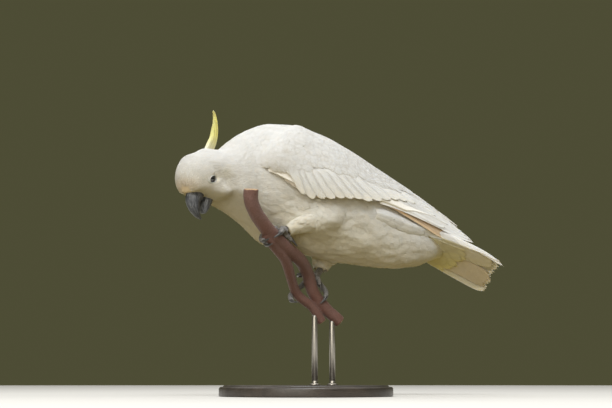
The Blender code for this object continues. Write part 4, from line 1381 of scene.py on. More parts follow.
def tail_coat(finish):
    """Twelve long feathers spread from the middle pair, which lies on top, to the outermost, whose
    broad inner sides close the fan from below, and the coverts over and under their roots."""
    sheet = tail_sheet(0, 1.1, TAIL_REACH)
    rng = np.random.default_rng(91)
    coat = Coat()
    white, yellow, tan = (np.array(picked(name)) for name in ("white", "yellow", "shade"))

    def feathers(sheet, leaf, place, tip, width, root, heights, tint, over, stain, start=0.0, **settings):
        """Long vanes from places across a sheet to their tips. Tip and root are along X, and tip,
        root, width and heights in mm. The yellow stain fades from the root to 3/4 of the length."""
        count = len(place)
        length = (np.asarray(tip) - root) * MM / math.cos(TAIL_FALL)
        fray = rng.uniform(-0.035, 0.0, (count, leaf.across))
        width = np.asarray(width) * MM
        sink, rise = (np.asarray(height) * MM for height in heights)
        vanes = lay_vanes(sheet, leaf, np.full(count, start), np.asarray(place), length, width,
                          fray=fray, sink=sink, rise=rise, **settings)
        inner = stain * np.clip(1 - leaf.t / 0.75, 0, 1)[None, :, None] ** 0.7
        tint = vary(rng, np.broadcast_to(tint, (count, 3)), 0.015)[:, None, :]
        tint = tint * (1 - inner) + yellow * inner
        coat.add(vanes, leaf, np.asarray(place) * 0.9, np.full(count, over), tint, length, width)

    def across(share):
        """The middle sheet's second parameter, from -1 and 1 at the fan's edges."""
        return (share + TAIL_REACH) / (2 * TAIL_REACH)

    leaf = Leaf(20, 9, root=0.4, widest=0.8, point=4.0, tip=0.42)
    pair = np.repeat(np.arange(6), 2)
    w = np.tile((-1, 1), 6) * (0.07 + 0.158 * pair)
    tips = np.interp(w, (-1, -0.8, -0.4, 0, 0.4, 0.8, 1), (277, 284, 288, 291, 297, 304, 302))
    feathers(sheet, leaf, across(w), tips + rng.uniform(-2, 1, 12), width=19.5, root=118,
             heights=(2.6 - 0.8 * pair, 1.9 - 0.5 * pair), tint=white, over=0.2, stain=0.8,
             dome=0.015, thick=0.55 * MM, roll=-0.05 * np.sign(w))
    broad = Leaf(24, 13, root=0.5, widest=0.82, point=3.4, tip=0.4)
    # the broad inner sides, tinted tan as painted shade, most on the far side, which lies in shadow
    feathers(sheet, broad, [across(0.5)], 297, width=43, root=118, heights=(-2.4, -2.2),
             tint=white * 0.6 + tan * 0.4, over=0.5, stain=0.55, dome=-0.05, thick=0.4 * MM, roll=0.02)
    feathers(sheet, broad, [across(-0.47)], 277, width=40, root=118, heights=(-3.2, -3.6),
             tint=white * 0.9 + tan * 0.1, over=0.6, stain=0.85, dome=-0.08, thick=0.4 * MM, roll=0.07)
    edge = tail_edge_sheet()
    side = Leaf(22, 9, root=0.7, widest=0.7, point=2.6, tip=0.25)
    feathers(edge, side, [0.34, 0.6], [277, 272], width=[10, 14], root=98,
             heights=((-1.4, -0.8), (-0.2, 0.6)), tint=white, over=0.9, stain=0.0, start=0.08,
             spring=0.5, dome=0.02, thick=0.4 * MM)

    # the loose feathers of the flank, which close the gap between wing and rump over its root
    loose = Leaf(8, 7, root=0.5, widest=0.6, point=1.9, tip=0.3)
    rows, columns = np.linspace(0.0, 0.52, 17), (0.12, 0.46, 0.86)
    a = np.tile(columns, len(rows)) + rng.uniform(-0.1, 0.1, 51)
    s = np.repeat(rows, len(columns)) + rng.uniform(-0.012, 0.012, 51)
    wanted = (a < 0.7) | (s < 0.2)
    s, a = s[wanted], a[wanted]
    count, width = len(s), 12.5 * MM
    grown = rng.uniform(28, 36, count) * MM
    vanes = lay_vanes(
        edge, loose, s, a, grown, width, heading=rng.normal(0, 0.05, count), sink=-1.4 * MM,
        rise=rng.uniform(0.6, 1.0, count) * MM, dome=0.05, tuck=1.2 * MM, spring=0.6,
        thick=0.16 * MM, fray=rng.uniform(-0.2, 0.0, (count, loose.across)))
    # painted light: white along the wing, where the top edge of the flank catches the light
    upper = np.clip((a - 0.5) / 0.2, 0, 1)[:, None]  # white along the wing
    tint = vary(rng, markings(edge.read(s, a)[0]) * (1 - upper) + white * upper)[:, None, :]
    coat.add(vanes, loose, 0.1 + s * 0.3, a * 0.8, tint, grown, width)

    # the coverts over and under the roots, in rows that curve forward towards the fan's edges
    short = Leaf(9, 7, root=0.5, widest=0.6, point=1.8, tip=0.3)
    width = 15 * MM
    for face, lift, long, stained in ((1, 0.6 * MM, 0.9, 0.0), (-1, 3.4 * MM, 1.1, 0.4)):
        rows = []
        for number, back in enumerate(np.arange(122, 210, 6.5)):
            count = 6 + number % 2
            place = np.linspace(-0.88, 0.88, count)
            length = 34 + rng.uniform(-4, 4, count)
            rows.append(np.column_stack([back - 16 * np.abs(place) ** 2, place, length]))
        rows = np.concatenate(rows)
        s = np.clip((rows[:, 0] * MM - TAIL_ROOT) / (TAIL_TIP - TAIL_ROOT), 0, 1)
        a = np.clip((rows[:, 1] + 1) / 2, 0.04, 0.96)
        grown = rows[:, 2] * MM * long
        sheet, count = tail_sheet(face), len(s)
        vanes = lay_vanes(
            sheet, short, s, a, grown, width, sink=lift - 1.6 * MM,
            rise=lift + rng.uniform(-0.2, 0.5, count) * MM, dome=0.03, tuck=1.3 * MM, spring=0.6,
            heading=rng.normal(0, 0.06, count), fray=rng.uniform(-0.2, 0.0, (count, short.across)))
        tint = markings(sheet.read(s, a)[0]) * (1 - stained) + yellow * stained
        coat.add(vanes, short, a * 0.9, s, vary(rng, tint)[:, None, :], grown, width)
    piece = coat.make("tail_feathers", finish)
    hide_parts("tail")


CREST = np.array([  # ahead, above, half depth and half width along its middle line
    (-29, 17, 6.4, 5),
    (-40, 20.5, 6.4, 5),
    (-50, 25, 6, 4.6),
    (-58.5, 31, 5.2, 4),
    (-65.5, 38.5, 4.4, 3.4),
    (-71, 46.5, 3.7, 2.8),
    (-74.5, 53, 2.8, 2.1),
    (-75.6, 57.5, 1.1, 1),
]) * MM


def square_to(line):
    """The way square to a line in a plane, at each of its points."""
    heading = unit(np.gradient(line, axis=0))
    return np.column_stack([-heading[:, 1], heading[:, 0]])


def middle_rings(table, sides):
    """Oval sections square to a line in the head's middle plane: their places in that plane, and
    how far each point lies to the left of it."""
    rows = through(table, 14)
    line, deep, wide = rows[:, :2], rows[:, 2, None], rows[:, 3, None]
    over = square_to(line)[:, None, :] * (deep * np.sin(turns(sides)))[..., None]
    return line[:, None, :] + over, wide * np.cos(turns(sides))


PLUMES = (  # place across the depth, length as a share, sideways place, width in mm
    (0.62, 1.0, 0.1, 6.5), (0.4, 0.98, -0.3, 7), (0.2, 0.93, 0.35, 7.5), (0.0, 0.88, -0.1, 8),
    (-0.25, 0.8, 0.3, 8), (-0.45, 0.72, -0.35, 8), (-0.62, 0.6, 0.05, 8), (-0.8, 0.45, -0.2, 7),
    (0.8, 0.8, -0.1, 5.5),
)


def crest_coat(finish):
    """Long narrow plumes that curve forward at their tips, stacked in the head's middle plane. Each
    lies on a ribbon of its own, which bows down on both sides with the square of the width."""
    white, yellow = np.array(picked("white")), np.array(picked("crest"))
    rng = np.random.default_rng(51)
    leaf = Leaf(22, 7, root=0.5, widest=0.4, point=2.8, tip=0.4)
    coat = Coat()
    rows = through(CREST, 6)
    over = square_to(rows[:, :2])
    across = np.linspace(-1, 1, 9) * 6 * MM
    bow = -0.045 * (across / MM) ** 2 * MM
    for shift, reach, aside, width in PLUMES:
        line = rows[:, :2] + over * (rows[:, 2] * shift)[:, None]
        line = line[:, None] + over[:, None] * bow[:, None]
        grid = in_head(line[..., 0], across + (aside * rows[:, 3])[:, None], line[..., 1])
        ribbon = Sheet(evenly(grid, 60), False, away=HEAD_AXES[2])
        length = lengths_along(ribbon.points[:, 4])[-1] * reach
        fray = rng.uniform(-0.08, 0.0, (1, leaf.across))
        vane = lay_vanes(ribbon, leaf, [0.0], [0.5], length, width * MM, sink=0.0, dome=0.0,
                         thick=0.5 * MM, fray=fray)
        share = np.clip((leaf.t * reach + 0.05) / 0.5, 0, 1)[:, None]
        tint = vary(rng, white * (1 - share) + yellow * share, 0.015)
        coat.add(vane, leaf, [0.45 + 0.1 * shift], [0.25 + 0.05 * aside], tint[None], length, width * MM)
    piece = coat.make("crest_plumes", finish, "crest_feathers")
    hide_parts("crest")


# ------------------------------------------------------------------ skin

def welded(name, points, quads, triangles, voxel, smoothing):
    """One closed seamless mesh from shapes that pass through each other: the space that they fill
    is found on a grid of cells, and its surface is smoothed."""
    rough = make_mesh(name + "_rough", points, quads, triangles)
    fill = rough.modifiers.new("Fill", "REMESH")
    fill.mode = "VOXEL"
    fill.voxel_size = voxel
    soft = rough.modifiers.new("Smooth", "SMOOTH")
    soft.factor = 0.5
    soft.iterations = smoothing
    ready = rough.evaluated_get(bpy.context.evaluated_depsgraph_get())
    mesh = bpy.data.meshes.new_from_object(ready)
    bpy.data.objects.remove(rough)
    mesh.name = name
    item = bpy.data.objects.new(name, mesh)
    bpy.context.scene.collection.objects.link(item)
    mesh.polygons.foreach_set("use_smooth", np.ones(len(mesh.polygons), bool))
    return item


def vertices_of(item):
    """The places of a mesh's vertices."""
    places = np.empty(len(item.data.vertices) * 3, np.float32)
    item.data.vertices.foreach_get("co", places)
    return places.reshape(-1, 3).astype(float)


def paint(item, name, values, kind="FLOAT_COLOR"):
    """One colour or number for each vertex, for the finish to read."""
    layer = item.data.attributes.new(name, kind, "POINT")
    if kind == "FLOAT_COLOR":
        values = np.column_stack([values, np.ones(len(values))])
        layer.data.foreach_set("color", values.astype(np.float32).ravel())
    else:
        layer.data.foreach_set("value", np.asarray(values, np.float32))


def make_skin(depth):
    """The skin of head, neck, body and legs in one, inside the coat by its depth, which shrinks
    towards the face."""
    rows = np.linspace(0, 1, len(BODY_SHEET.points))[:, None, None]
    inset = depth * np.interp(rows, (0, 0.12, 0.35), (0.25, 0.45, 1))
    body = BODY_SHEET.points - BODY_SHEET.normal * inset
    legs = [sheet.points - sheet.normal * depth * 0.7 for sheet in THIGH_SHEETS.values()]
    points, quads, triangles, _ = skin_over(body, *legs)
    item = welded("skin", points, quads, triangles, 2.2 * MM, 6)
    places = vertices_of(item)
    # a hollow round each eye
    head = in_head_axes(places)
    head[:, 1] = np.abs(head[:, 1])
    eyes = np.linalg.norm(head - EYE_SEAT - (0, 2.6 * MM, 0), axis=1)
    sunk = np.clip(1 - eyes / (EYE_REACH * MM), 0, 1)
    places += unit(HEAD - places) * (sunk * 3.4 * MM)[:, None]
    item.data.vertices.foreach_set("co", places.astype(np.float32).ravel())
    paint(item, "tint", markings(places))
    dress(item, skin_finish())
    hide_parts("head", "neck", "trunk", "rump", "thigh_left", "thigh_right")


# ------------------------------------------------------------------ bill and eyes

BILL_UPPER = np.array([  # ahead, above, half depth and half width along its middle line
    (20, -11, 10, 11.5),
    (28, -12.5, 10.5, 11.5),
    (34, -17, 9.2, 10.3),
    (37.6, -23.5, 7.2, 8.2),
    (39, -30, 5.2, 6),
    (38.6, -36.5, 3.1, 3.6),
    (36.8, -42.5, 0.8, 0.9),
]) * MM
BILL_LOWER = np.array([
    (6, -22, 9, 9.5),
    (14, -27, 9, 11),
    (21, -32, 7.2, 9.6),
    (26.3, -36.2, 4.4, 7.2),
    (29, -39, 1.4, 4.4),
]) * MM


def make_bill(finish, lower_finish):
    """The curved upper bill with its ridge, and the broad scoop of the lower one."""
    sides = 96
    deep = np.sin(turns(sides))[None, :]
    for name, table in (("bill_upper", BILL_UPPER), ("bill_lower", BILL_LOWER)):
        lower = name == "bill_lower"
        place, wide = middle_rings(table, sides)
        share = np.linspace(0, 1, len(place))[:, None]
        if lower:
            # the cutting edge: a blunt square front whose rim stands up a little
            wide = wide * (1 + 0.05 * np.clip(deep, 0, 1))
            pinch = 1 - 0.12 * np.clip(deep, 0, 1) ** 3 * (1 - share)
        else:
            # a keeled ridge above, flatter sides, and a sharp lower edge on either side
            groove = np.exp(-(((deep + 0.35) / 0.12) ** 2)) * share
            wide = wide * (1 - 0.10 * np.clip(deep, 0, 1) ** 2 - 0.16 * groove)
            pinch = 1 + 0.035 * np.exp(-(((deep - 1) / 0.06) ** 2))
        centre = place.mean(axis=1, keepdims=True)
        place = centre + (place - centre) * pinch[..., None]
        growth = 0.12 * MM * np.sin(share * 60) * (1 - share)  # low rings of growth
        place = place + unit(place - centre) * growth[..., None]
        points, quads, triangles, pairs = skin_over(in_head(place[..., 0], wide, place[..., 1]))
        uv = np.concatenate([pairs[:, ::-1], np.full((len(triangles) * 3, 2), 0.5)])
        item = make_mesh(name + "_horn", points, quads, triangles, corners={"Bill": uv})
        dress(item, lower_finish if lower else finish)
        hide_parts(name)


def make_cere(finish):
    """The low swollen band of skin over the bill's root, with the two nostrils sunk in it."""
    turn = np.linspace(-0.18, 1.18, 72)[None, :] * math.pi
    share = np.linspace(0, 1, 15)[:, None]
    swell = np.sin(share * math.pi)
    ahead = 23.0 + 6.2 * share + 0 * turn
    reach = 1.0 + 0.085 * swell
    left = np.cos(turn) * 12.0 * reach
    above = -12.2 + np.sin(turn) * 11.2 * reach - 1.0 * share
    for side in (1, -1):
        hole = np.exp(-(((left - side * 5.6) / 1.5) ** 2 + ((ahead - 25.8) / 1.2) ** 2)) * (above > -8)
        above = above - 1.5 * hole
    outer = in_head(ahead * MM, left * MM, above * MM)
    inner = in_head(ahead * MM, left * 0.9 * MM, (above * 0.9 - 1.2) * MM)
    points, quads, triangles, _ = skin_over(np.concatenate([outer, inner[:, ::-1]], axis=1))
    dress(make_mesh("cere_skin", points, quads, triangles), finish)


LID_PROFILE = through([  # share of the ring's reach, height over the ball's middle plane in mm
    (0.56, 1.6), (0.60, 3.6), (0.655, 4.3), (0.71, 4.15), (0.76, 3.7), (0.83, 3.6), (0.90, 3.2),
    (1.0, 2.5), (1.15, 1.0), (1.0, -1.5), (0.7, -1.8), (0.56, -1.2), (0.56, 1.6),
], 4)[:-1]


def eye_seat(side):
    """An eye's place, and the way in which it looks."""
    centre = in_head(EYE_SEAT[0], side * EYE_SEAT[1], EYE_SEAT[2])
    return centre, unit(centre - in_head(6 * MM, 0, 0))


def make_eyeball(name, side, finish):
    """A dark ball, drawn as rings about the way in which the eye looks."""
    turn, angles = np.linspace(0.02, 0.98, 40) * math.pi, turns(64)[:, None]
    centre, outward = eye_seat(side)
    across = unit(np.cross(outward, (0.1, 0.2, 1.0)))
    other = np.cross(outward, across)
    ring = np.cos(angles) * across + np.sin(angles) * other
    grid = np.cos(turn)[:, None, None] * outward + np.sin(turn)[:, None, None] * ring
    grid = centre - outward * 1.0 * MM + sizes().eye_ball / 2 * grid
    points, quads, triangles, _ = skin_over(grid)
    item = make_mesh("eye_ball_" + name, points, quads, triangles)
    share = np.clip(turn / (0.5 * math.pi), 0, 1)
    paint(item, "iris", np.append(np.repeat(share, len(ring)), (0, 1)), "FLOAT")
    dress(item, finish)
    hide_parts("eye_" + name)


def make_lids(name, side, finish):
    """A ring of bare skin in fine folds round an eye: the profile carried round it, from under the
    lid out to the feathers. It is a little longer than wide, with the lids proud above and below."""
    share, height = LID_PROFILE[:, :1], LID_PROFILE[:, 1:]
    angles, reach = turns(120), sizes().eye_ring / 2
    centre, outward = eye_seat(side)
    along = unit(HEAD_AXES[0] - outward * (HEAD_AXES[0] @ outward))
    over = np.cross(outward, along) * side
    almond = 1 + 0.09 * np.cos(2 * angles)
    folds = 1 + 0.012 * np.sin(26 * angles) * np.exp(-(((share - 0.85) / 0.15) ** 2))
    wide = (share * reach * almond * folds)[..., None]
    lids = 0.35 * MM * np.sin(angles) ** 2 * np.exp(-(((share - 0.64) / 0.1) ** 2))
    level = (height * MM + lids + 0.12 * MM * np.sin(share * 90))[..., None]
    ring = np.cos(angles)[:, None] * along + np.sin(angles)[:, None] * over
    points = (centre + wide * ring + level * outward).reshape(-1, 3)
    quads, _ = grid_faces(len(share) + 1, len(angles), True)
    quads = quads % len(points)  # the last ring is the first
    # outwards is away from the circle that runs inside the ring
    off = points[quads].mean(axis=1) - centre
    if (quad_ways(points, quads) * (off - 0.8 * reach * unit(off))).sum() < 0:
        quads = quads[:, ::-1]
    dress(make_mesh("eye_lids_" + name, points, quads), finish)


# ------------------------------------------------------------------ branch, feet and stand

BRANCH = np.array([
    (-100.9, -74, 258), (-99.6, -70, 244.6), (-90.7, -63, 229.6), (-72, -51, 211.8), (-57.1, -43, 202),
    (-43.4, -35, 193.2), (-14, -15, 178.4), (4, 3, 160.9), (14.2, 11, 138.8), (32.8, 14, 117.8),
    (54.8, 14, 99.2),
]) * MM
BRANCH_RADII = (9.6 * MM, 8.4 * MM)
FORK = np.array([
    (-72.7, -49, 205.6), (-62.5, -43, 195.2), (-39.2, -27, 175.9), (-24.6, -9, 154.5), (-11.1, 5, 134.8),
    (11.9, 9, 118.2), (27.2, 11, 98.4),
]) * MM
FORK_RADII = (7.2 * MM, 6.4 * MM)
GRIPS = {"left": 4.0, "right": 7.3}  # where on the branch each foot grips, counted in its points
TOE_RADIUS = 3.8 * MM
TOES = {  # angle round the branch from its upper side, distance along it, and lift off it
    "left": {
        "inner": ((0, 2, 0), (-70, -1, 0), (-130, -5, 1), (-168, -7, 3)),
        "middle": ((-5, -3, 0), (-70, -9, 0), (-130, -14, 1), (-178, -17, 4)),
        "outer": ((15, 6, 0), (30, 12, 0), (42, 18, 0)),
        "rear": ((12, 1, 0), (48, -3, 0), (84, -7, 0)),
    },
    "right": {
        "inner": ((0, -2, 0), (-45, -5, 0), (-90, -8, 0), (-124, -11, 1)),
        "middle": ((-5, 4, 0), (-60, 6, 0), (-110, 8, 3), (-150, 9, 24), (-166, 9, 33)),
        "outer": ((18, 6, 0), (30, 15, 4), (56, 23, 6), (86, 27, 5)),
        "rear": ((22, 0, 0), (44, 4, 0), (60, 9, 0)),
    },
}
CLAW_LENGTH, CLAW_ROOT = 12 * MM, 1.2 * MM  # past the toe, and inside it


def ripple(points, size, seed, count=24):
    """Smooth random relief from -1 to 1: the mean of waves of about one size in all directions."""
    rng = np.random.default_rng(seed)
    ways = rng.normal(0, 1, (count, 3))
    ways *= (TURN / size) * rng.uniform(0.6, 1.5, (count, 1)) / np.linalg.norm(ways, axis=1)[:, None]
    return np.sin(points @ ways.T + rng.uniform(0, TURN, count)).mean(axis=-1) * 3


def make_perch(finish):
    """A forked length of branch in one piece with sawn ends. Its round section swells and sinks by
    up to half a millimetre."""
    tubes, places = [], []
    for table, radii in ((BRANCH, BRANCH_RADII), (FORK, FORK_RADII)):
        line = evenly(through(table, 8)[:, None], 160)[:, 0]
        heading, across, over, ring = tube_frames(line, 64)
        radius = np.linspace(*radii, len(line))
        grid = line[:, None] + ring * radius[:, None, None]
        relief = ripple(grid, 26 * MM, 3) * 0.35 + ripple(grid, 9 * MM, 4) * 0.16
        grid = grid + ring * (relief * MM - 0.15 * MM)[..., None]
        tubes.append((line, radius, heading, across, over))
        places.append(grid)
    points, quads, triangles, _ = skin_over(*places)
    item = welded("perch", points, quads, triangles, 1.1 * MM, 4)
    item.name = "perch_bark"
    along, around, cut, ring = places_on(tubes, vertices_of(item))
    paint(item, "cut", cut, "FLOAT")
    paint(item, "ring", ring, "FLOAT")
    loops = np.empty(len(item.data.loops), np.int32)
    item.data.loops.foreach_get("vertex_index", loops)
    # the pattern goes up one side of the branch and back down the other, so that it closes on itself
    pairs = np.column_stack([np.abs(around) / 2.2, along * 100])[loops]
    layer = item.data.uv_layers.new(name="Bark")
    layer.uv.foreach_set("vector", pairs.astype(np.float32).ravel())
    dress(item, finish)
    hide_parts("perch_branch")


def places_on(tubes, points):
    """How far along and round its nearest tube each point lies, whether it is on a sawn end, and how
    far out it is as a share of the radius. The fork starts inside the branch, so it has one end."""
    best = np.full(len(points), np.inf)
    found = np.zeros((4, len(points)))
    for number, (line, radius, heading, across, over) in enumerate(tubes):
        gap = np.linalg.norm(points[:, None] - line[None, ::2], axis=2)
        nearest = gap.argmin(axis=1) * 2
        distance = gap.min(axis=1) / radius[nearest]
        offset = points - line[nearest]
        x, y, z = ((offset * way[nearest]).sum(axis=1) for way in (across, over, heading))
        on_end = np.zeros(len(points), bool)
        for end in (-1,) if number else (0, -1):
            off = points - line[end]
            level = np.hypot(off @ across[end], off @ over[end])
            on_end |= (np.abs(off @ heading[end]) < 0.7 * MM) & (level < radius[end] * 0.93)
        here = (lengths_along(line)[nearest] + z, np.arctan2(y, x), on_end, np.hypot(x, y) / radius[nearest])
        wins = distance < best
        best = np.where(wins, distance, best)
        found = np.where(wins, here, found)
    return found


def grip_frame(at):
    """Where a foot grips the branch: the place, along it, its upper side, and its left side."""
    line = np.column_stack([np.arange(len(BRANCH)), BRANCH])
    before, place, after = smooth_rows(line, [at - 0.05, at, at + 0.05])
    ahead = unit(after - before)
    upper = unit(np.array((0, 0, 1)) - ahead * ahead[2])
    return place, ahead, upper, np.cross(ahead, upper)


def bark_radius(at):
    """The branch's radius, which falls evenly from its upper end to its lower one."""
    return np.interp(at, (0, len(BRANCH) - 1), BRANCH_RADII)


def toe_line(at, steps, settings):
    """A toe's middle line, from angles round the branch, distances along it and lifts."""
    place, ahead, upper, left = grip_frame(at)
    angles, along, lift = through(settings, steps).T[:, :, None]
    angles = np.radians(angles)
    reach = bark_radius(at) + TOE_RADIUS * 0.9 + lift * MM
    return place + along * MM * ahead + reach * (np.cos(angles) * upper + np.sin(angles) * left)


def scaly_tube(line, radii, outward, joints, seed):
    """A toe or tarsus: a tube that narrows between its joints' pads, with a row of plates across
    its outer side and a rounded end. Its scales' places are in about their own widths."""
    rows, sides = 72, 40
    steps = lengths_along(line)
    total = steps[-1] / MM
    centres = smooth_rows(np.column_stack([steps, line, radii]), np.linspace(0, steps[-1], rows))
    places, radius = centres[:, :3], centres[:, 3]
    heading, _, _, ring = tube_frames(places, sides)
    facing = (ring * outward(places)[:, None]).sum(axis=-1)
    share = np.linspace(0, 1, rows)[:, None]
    pads = 0.11 * np.cos(share * TURN * joints) * np.clip(-facing + 0.2, 0, 1) - 0.03
    plates = np.abs(np.sin(share * total * math.pi / 2.3)) ** 0.6
    relief = 0.075 * (plates - 0.7) * np.clip(facing * 1.6, 0, 1)
    grid = places[:, None] + ring * (radius[:, None] * (1 + pads + relief))[..., None]
    grid = grid + ring * (ripple(grid, 2.6 * MM, seed) * 0.14 * MM)[..., None]
    end = np.linspace(0, 1, 6)[1:, None, None]
    inward = (grid[-1].mean(axis=0) - grid[-1]) * (1 - np.sqrt(1 - end**2 * 0.98))
    cap = grid[-1] + inward + heading[-1] * end * radius[-1] * 0.7
    around = np.abs(turns(sides) - math.pi)[None, :] * radius.mean() / MM
    scales = np.stack(np.broadcast_arrays(around, share * total), axis=-1) * 0.62
    scales = np.concatenate([scales, np.repeat(scales[-1:], len(cap), axis=0)])
    return np.concatenate([grid, cap]), scales


def claw_grid(end, heading, inward, ahead):
    """A curved claw from a toe's end: its line bends inwards with the square of its length, less
    where the toe lies along the branch, and it is flatter on its inner side."""
    root = end - heading * CLAW_ROOT - inward * TOE_RADIUS * 0.15
    curl = CLAW_LENGTH * 0.52 * (1 - (heading @ ahead) ** 2)
    t = np.linspace(0, 1, 30)
    curve = root + np.outer(t * (CLAW_LENGTH + CLAW_ROOT), heading) + np.outer(t**2 * curl, inward)
    *_, ring = tube_frames(curve, 24)
    flat = 1 - 0.18 * np.clip((ring * inward).sum(axis=-1), 0, 1)
    width = (2.4 * (1 - t) ** 0.75 + 0.35)[:, None] * MM * flat
    return curve[:, None] + ring * width[..., None]


def make_foot(side, thigh_end, foot_skin, horn):
    """The scaly tarsus and sole with two toes ahead and two behind, and a curved claw on each."""
    at = GRIPS[side]
    place, ahead, upper, left = grip_frame(at)
    over = upper * math.cos(0.2) + left * math.sin(0.2)
    sole = place + over * (bark_radius(at) + 5 * MM) + ahead * 2 * MM
    down = through(np.array([thigh_end, thigh_end * 0.5 + sole * 0.5, sole]), 6)
    radii = np.linspace(4.6, 6.0, len(down)) * MM
    tubes = [scaly_tube(down, radii, lambda points: np.broadcast_to(upper, points.shape), 1, 5)]
    claws = {}

    def off_branch(points):
        """The ways from the branch's middle line."""
        off = points - place
        return unit(off - np.outer(off @ ahead, ahead))

    for number, (toe, settings) in enumerate(TOES[side].items()):
        line = toe_line(at, 8, settings)
        radii = TOE_RADIUS * np.linspace(1.12, 0.8, len(line))
        tubes.append(scaly_tube(line, radii, off_branch, max(1, len(settings) - 1), 20 + number))
        before, end = toe_line(at, 3, settings)[-2:]
        heading = unit(end - before)
        inward = place - end
        inward = inward - ahead * (inward @ ahead)
        inward = unit(inward - heading * (inward @ heading))
        claws[f"claw_{side}_{toe}"] = claw_grid(end, heading, inward, ahead)
    points, quads, triangles, _ = skin_over(*(grid for grid, _ in tubes))
    places = []
    for _, scales in tubes:
        places += [scales.reshape(-1, 2), scales[[0, -1]].mean(axis=1)]
    corners = {"Scales": np.concatenate(places)}
    item = make_mesh(f"foot_{side}_skin", points, quads, triangles, corners=corners)
    dress(item, foot_skin)
    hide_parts("foot_" + side)
    for name, grid in claws.items():
        points, quads, triangles, _ = skin_over(grid)
        claw = dress(make_mesh(name + "_horn", points, quads, triangles), horn)
        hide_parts(name)


def turned(name, profile, sides, centre=(0, 0)):
    """A profile of (radius, height) carried round an upright line, with its ends closed."""
    radius, height = np.moveaxis(np.array(profile)[..., None], 1, 0)
    x, y = centre[0] + radius * np.cos(turns(sides)), centre[1] + radius * np.sin(turns(sides))
    points, quads, triangles, _ = skin_over(np.stack(np.broadcast_arrays(x, y, height), axis=-1))
    return make_mesh(name, points, quads, triangles)


def arc(middle, radius, first, last, count=7):
    """Points on part of a circle, from one angle in degrees to another."""
    turn = np.radians(np.linspace(first, last, count))
    return np.column_stack([middle[0] + radius * np.cos(turn), middle[1] + radius * np.sin(turn)])


def make_stand(wood, metal):
    """A turned base with a rounded edge and a shallow step, and two rods with collars at their feet."""
    low, high = (np.array(part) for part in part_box("stand_base"))
    edge, top = (high[0] - low[0]) / 2, high[2]
    profile = np.concatenate([
        [(edge - 1.2 * MM, 0)],
        arc((edge - 1.2 * MM, 1.2 * MM), 1.2 * MM, -80, 0, 4),
        arc((edge - 3.2 * MM, top - 5.2 * MM), 3.2 * MM, 0, 80),
        [(edge - 5 * MM, top - 1.9 * MM), (edge - 5.6 * MM, top - 1.7 * MM)],
        arc((edge - 7.4 * MM, top - 1.8 * MM), 1.8 * MM, 20, 90, 5),
        [(edge * 0.5, top), (1 * MM, top)],
    ])
    base = dress(turned("stand_base_wood", profile, 160), wood)
    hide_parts("stand_base")
    for number in (1, 2):
        low, high = (np.array(part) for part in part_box(f"stand_rod_{number}"))
        r = (high[0] - low[0]) / 2
        profile = np.concatenate([
            [(r + 3.4 * MM, top)],
            arc((r + 2.6 * MM, top + 0.9 * MM), 0.9 * MM, -20, 80, 4),
            arc((r + 2.0 * MM, top + 3.4 * MM), 1.6 * MM, 260, 180, 5),
            [(r + 0.3 * MM, top + 4.6 * MM)],
            arc((r - 0.5 * MM, top + 5.0 * MM), 0.7 * MM, 10, 60, 3),
            [(r, top + 5.8 * MM), (r, high[2] - 3 * MM), (r - 0.6 * MM, high[2])],
        ])
        rod = turned(f"stand_rod_{number}_metal", profile, 48, (low[:2] + high[:2]) / 2)
        dress(rod, metal)
        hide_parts(f"stand_rod_{number}")


# ------------------------------------------------------------------ stage

FLOOR_REACH = 6.0
AIR_STRENGTH = 1.5
AIR_BANDS = (  # share of the way from straight below to straight above, and the light from there
    (0.0, "ground"), (0.42, "ground"), (0.5, "air"), (0.72, "air"), (0.86, "sky"))
LIGHTS = (  # name, place, what it aims at, size in metres, power in watts, colour
    ("key_light", (-0.5, -1.35, 1.95), (0, 0, 0.25), (1.3, 1.3), 37, (0.98, 1.0, 1.0)),
    ("front_light", (-1.5, -1.9, 0.65), (-0.05, 0, 0.25), (2.0, 1.2), 27, (1.0, 0.95, 0.85)),
)
CAMERA_AIM, CAMERA_AWAY = Vector((0, 0, 0.258)), 1.3221
CAMERA_TURN, CAMERA_RISE = math.radians(-20), math.radians(-10.5)
CAMERA_VIEW = math.radians(35.185)  # from side to side
SENSOR = 36  # mm across


def place_and_aim(name, data, place, aim):
    """An object at a place that looks at its aim."""
    item = bpy.data.objects.new(name, data)
    item.location = place
    item.rotation_mode = "QUATERNION"
    item.rotation_quaternion = (Vector(aim) - Vector(place)).to_track_quat("-Z", "Y")
    bpy.context.scene.collection.objects.link(item)
    return item


def make_floor():
    """A plain round floor that throws no light back onto the bird and keeps none from it."""
    low, high = -20 * MM, -0.5 * MM
    rings = [np.stack([np.cos(turns(96)) * r, np.sin(turns(96)) * r, np.full(96, z)], axis=-1)
             for r, z in ((FLOOR_REACH, low), (FLOOR_REACH, high), (1.0, high), (0.001, high))]
    points, quads, triangles, _ = skin_over(np.array(rings))
    floor = make_mesh("floor", points, quads, triangles)
    floor.data.materials.append(floor_finish(picked("floor")))
    floor.visible_diffuse = False
    floor.visible_shadow = False


def make_air():
    """The light from all round, by the height it comes from: dim below and level, bright overhead."""
    world = bpy.data.worlds.new("studio_air")
    world.use_nodes = True
    nodes, links = world.node_tree.nodes, world.node_tree.links
    split = nodes.new("ShaderNodeSeparateXYZ")
    links.new(nodes.new("ShaderNodeTexCoord").outputs["Generated"], split.inputs[0])
    reach = nodes.new("ShaderNodeMapRange")
    reach.inputs["From Min"].default_value = -1.0
    links.new(split.outputs[2], reach.inputs["Value"])
    bands = nodes.new("ShaderNodeValToRGB")
    links.new(reach.outputs[0], bands.inputs["Fac"])
    set_stops(bands, [(place, picked(name)) for place, name in AIR_BANDS])
    links.new(bands.outputs["Color"], nodes["Background"].inputs["Color"])
    nodes["Background"].inputs["Strength"].default_value = AIR_STRENGTH
    bpy.context.scene.world = world


